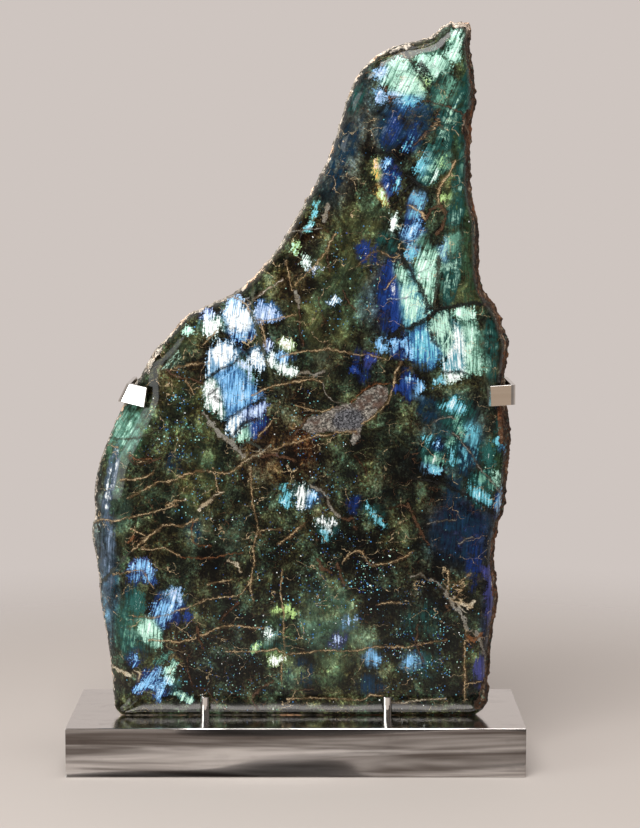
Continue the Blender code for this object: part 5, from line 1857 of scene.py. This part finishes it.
@dataclass
class SteelStand:
    """The base, its two pins and the two brackets, which keep their solids."""

    # The base's dark streak tint paints a reflection of dark surroundings on its upright faces.
    base: MirrorSteel = MirrorSteel(
        "mirror steel base", roughness=0.15, swell=11.0, reflection_streak=(0.17, 0.15, 0.14))
    pins: MirrorSteel = MirrorSteel(
        "mirror steel pins", tone=(0.80, 0.78, 0.76), swell=40.0, swell_height=0.1 * MM)
    bars: MirrorSteel = MirrorSteel(
        "mirror steel bars", tone=(0.78, 0.75, 0.71), swell=45.0, swell_height=0.12 * MM)

    def build(self) -> None:
        """Gives each steel solid its finish."""
        wear_and_reflection = wear_and_reflection_group()
        for finish, names in ((self.base, ("steel_base",)), (self.pins, ("left_pin", "right_pin")),
                              (self.bars, ("left_bracket", "right_bracket"))):
            material = finish.build(wear_and_reflection)
            for name in names:
                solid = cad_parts[name]
                for slot in solid.material_slots:
                    slot.material = material
                LOG.info("%s wears %s", name, finish.name)


@dataclass(frozen=True)
class Lamp:
    """A soft light: where it stands, what it faces, its size, power in watts and colour."""

    name: str
    place: Point
    aim: Point
    width: float
    height: float
    power: float
    tone: Colour


LAMPS = (
    Lamp("left", (-1.80, -1.32, 0.66), (-0.14, 0, 0.33), 1.35, 1.15, 22, (0.95, 1.0, 1.0)),
    Lamp("right", (1.32, -1.95, 0.20), (0.18, 0, 0.33), 0.5, 0.7, 0.28, (1.0, 0.70, 0.42)),
    Lamp("above", (-0.35, -1.75, 2.25), (0, 0, 0.30), 1.6, 0.9, 62, (1.0, 0.985, 0.97)),
    Lamp("top", (0.25, -0.35, 2.3), (0, 0, 0.3), 1.4, 0.9, 18, (1.0, 1.0, 1.0)),
)


@dataclass
class Studio:
    """Pale floor, soft lights and the camera at the photograph's angle."""

    background: Colour = field(default_factory=lambda: linear(206, 197, 192))
    floor_tone: Colour = field(default_factory=lambda: linear(186, 178, 172))
    floor_near: float = 0.42
    floor_far: float = 1.15
    camera_place: Point = (0.0188, -2.0535, 0.5063)
    camera_pitch: float = 5.469
    camera_yaw: float = 0.064
    camera_lens: float = 100.73
    camera_sensor: float = 36.0
    ambient: float = 0.92

    def build(self) -> None:
        """Makes the floor, the lights, the world and the camera."""
        self.floor()
        self.world()
        for lamp in LAMPS:
            self.light(lamp)
        self.camera()
        view = bpy.context.scene.view_settings
        view.view_transform = "Standard"
        view.look = "None"
        view.exposure = 0.0

    def floor(self) -> None:
        """Makes a round pale floor that fades into the background."""
        deselect_all()
        bpy.ops.mesh.primitive_circle_add(vertices=96, radius=self.floor_far, fill_type="NGON")
        floor = bpy.context.object
        floor.name = "floor"
        material, nodes, shader = new_material("floor")
        place = nodes.add("TexCoord").outputs["Object"]
        reach = nodes.add("VectorMath", operation="LENGTH")
        nodes.feed(reach, 0, place)
        shader.inputs["Roughness"].default_value = 0.7
        nodes.feed(shader, "Base Color", self.floor_tone)
        shown = nodes.step(self.floor_near, self.floor_far, reach.outputs["Value"], 1.0, 0.0)
        nodes.feed(shader, "Alpha", shown)
        floor.data.materials.append(material)

    def world(self) -> None:
        """Makes an even pale backdrop that lights the object softly."""
        world = bpy.data.worlds.new("studio")
        bpy.context.scene.world = world
        world.use_nodes = True
        nodes = Nodes(world.node_tree)
        world.node_tree.nodes.clear()
        seen = nodes.add("Background")
        nodes.feed(seen, "Color", self.background)
        lit = nodes.add("Background")
        towards = nodes.split(nodes.add("TexCoord").outputs["Generated"])
        horizon = nodes.step(0.0, 0.30, towards[2], 0.42, 0.10)
        pale = nodes.step(-0.35, 0.55, towards[1], horizon, 1.0)
        overhead = nodes.step(0.45, 0.9, towards[2], 0.0, 0.6)
        pale = nodes.math("MAXIMUM", pale, overhead)
        grey = nodes.add("CombineColor")
        for slot, part in enumerate(self.background):
            nodes.feed(grey, slot, nodes.math("MULTIPLY", pale, part))
        nodes.feed(lit, "Color", grey.outputs[0])
        nodes.feed(lit, "Strength", self.ambient)
        which = nodes.add("MixShader")
        nodes.feed(which, 0, nodes.add("LightPath").outputs["Is Camera Ray"])
        nodes.feed(which, 1, lit.outputs[0])
        nodes.feed(which, 2, seen.outputs[0])
        nodes.feed(nodes.add("OutputWorld"), "Surface", which.outputs[0])

    def light(self, lamp: Lamp) -> None:
        """Adds a soft light.

        Args:
            lamp: its place, size, power and colour.
        """
        light = bpy.data.lights.new(lamp.name, "AREA")
        light.shape = "RECTANGLE"
        light.size = lamp.width
        light.size_y = lamp.height
        light.energy = lamp.power
        light.color = lamp.tone
        thing = bpy.data.objects.new(lamp.name, light)
        thing.location = lamp.place
        towards = Vector(lamp.aim) - Vector(lamp.place)
        thing.rotation_euler = towards.to_track_quat("-Z", "Y").to_euler()
        bpy.context.scene.collection.objects.link(thing)

    def camera(self) -> None:
        """Sets the camera where the photograph was taken from."""
        lens = bpy.data.cameras.new("camera")
        lens.lens = self.camera_lens
        lens.sensor_width = self.camera_sensor
        lens.sensor_fit = "AUTO"
        camera = bpy.data.objects.new("camera", lens)
        camera.location = self.camera_place
        tilt = math.radians(90 - self.camera_pitch)
        camera.rotation_euler = (tilt, 0, math.radians(-self.camera_yaw))
        bpy.context.scene.collection.objects.link(camera)
        bpy.context.scene.camera = camera


def main() -> None:
    """Builds the pieces and the studio in order, and reports the steel finishes and the stone."""
    logging.basicConfig(level=logging.INFO, format="%(name)s: %(message)s")
    SteelStand().build()
    stone = Stone().build()
    LOG.info("%s has %d faces", stone.name, len(stone.data.polygons))
    Studio().build()


if __name__ == "__main__":
    main()
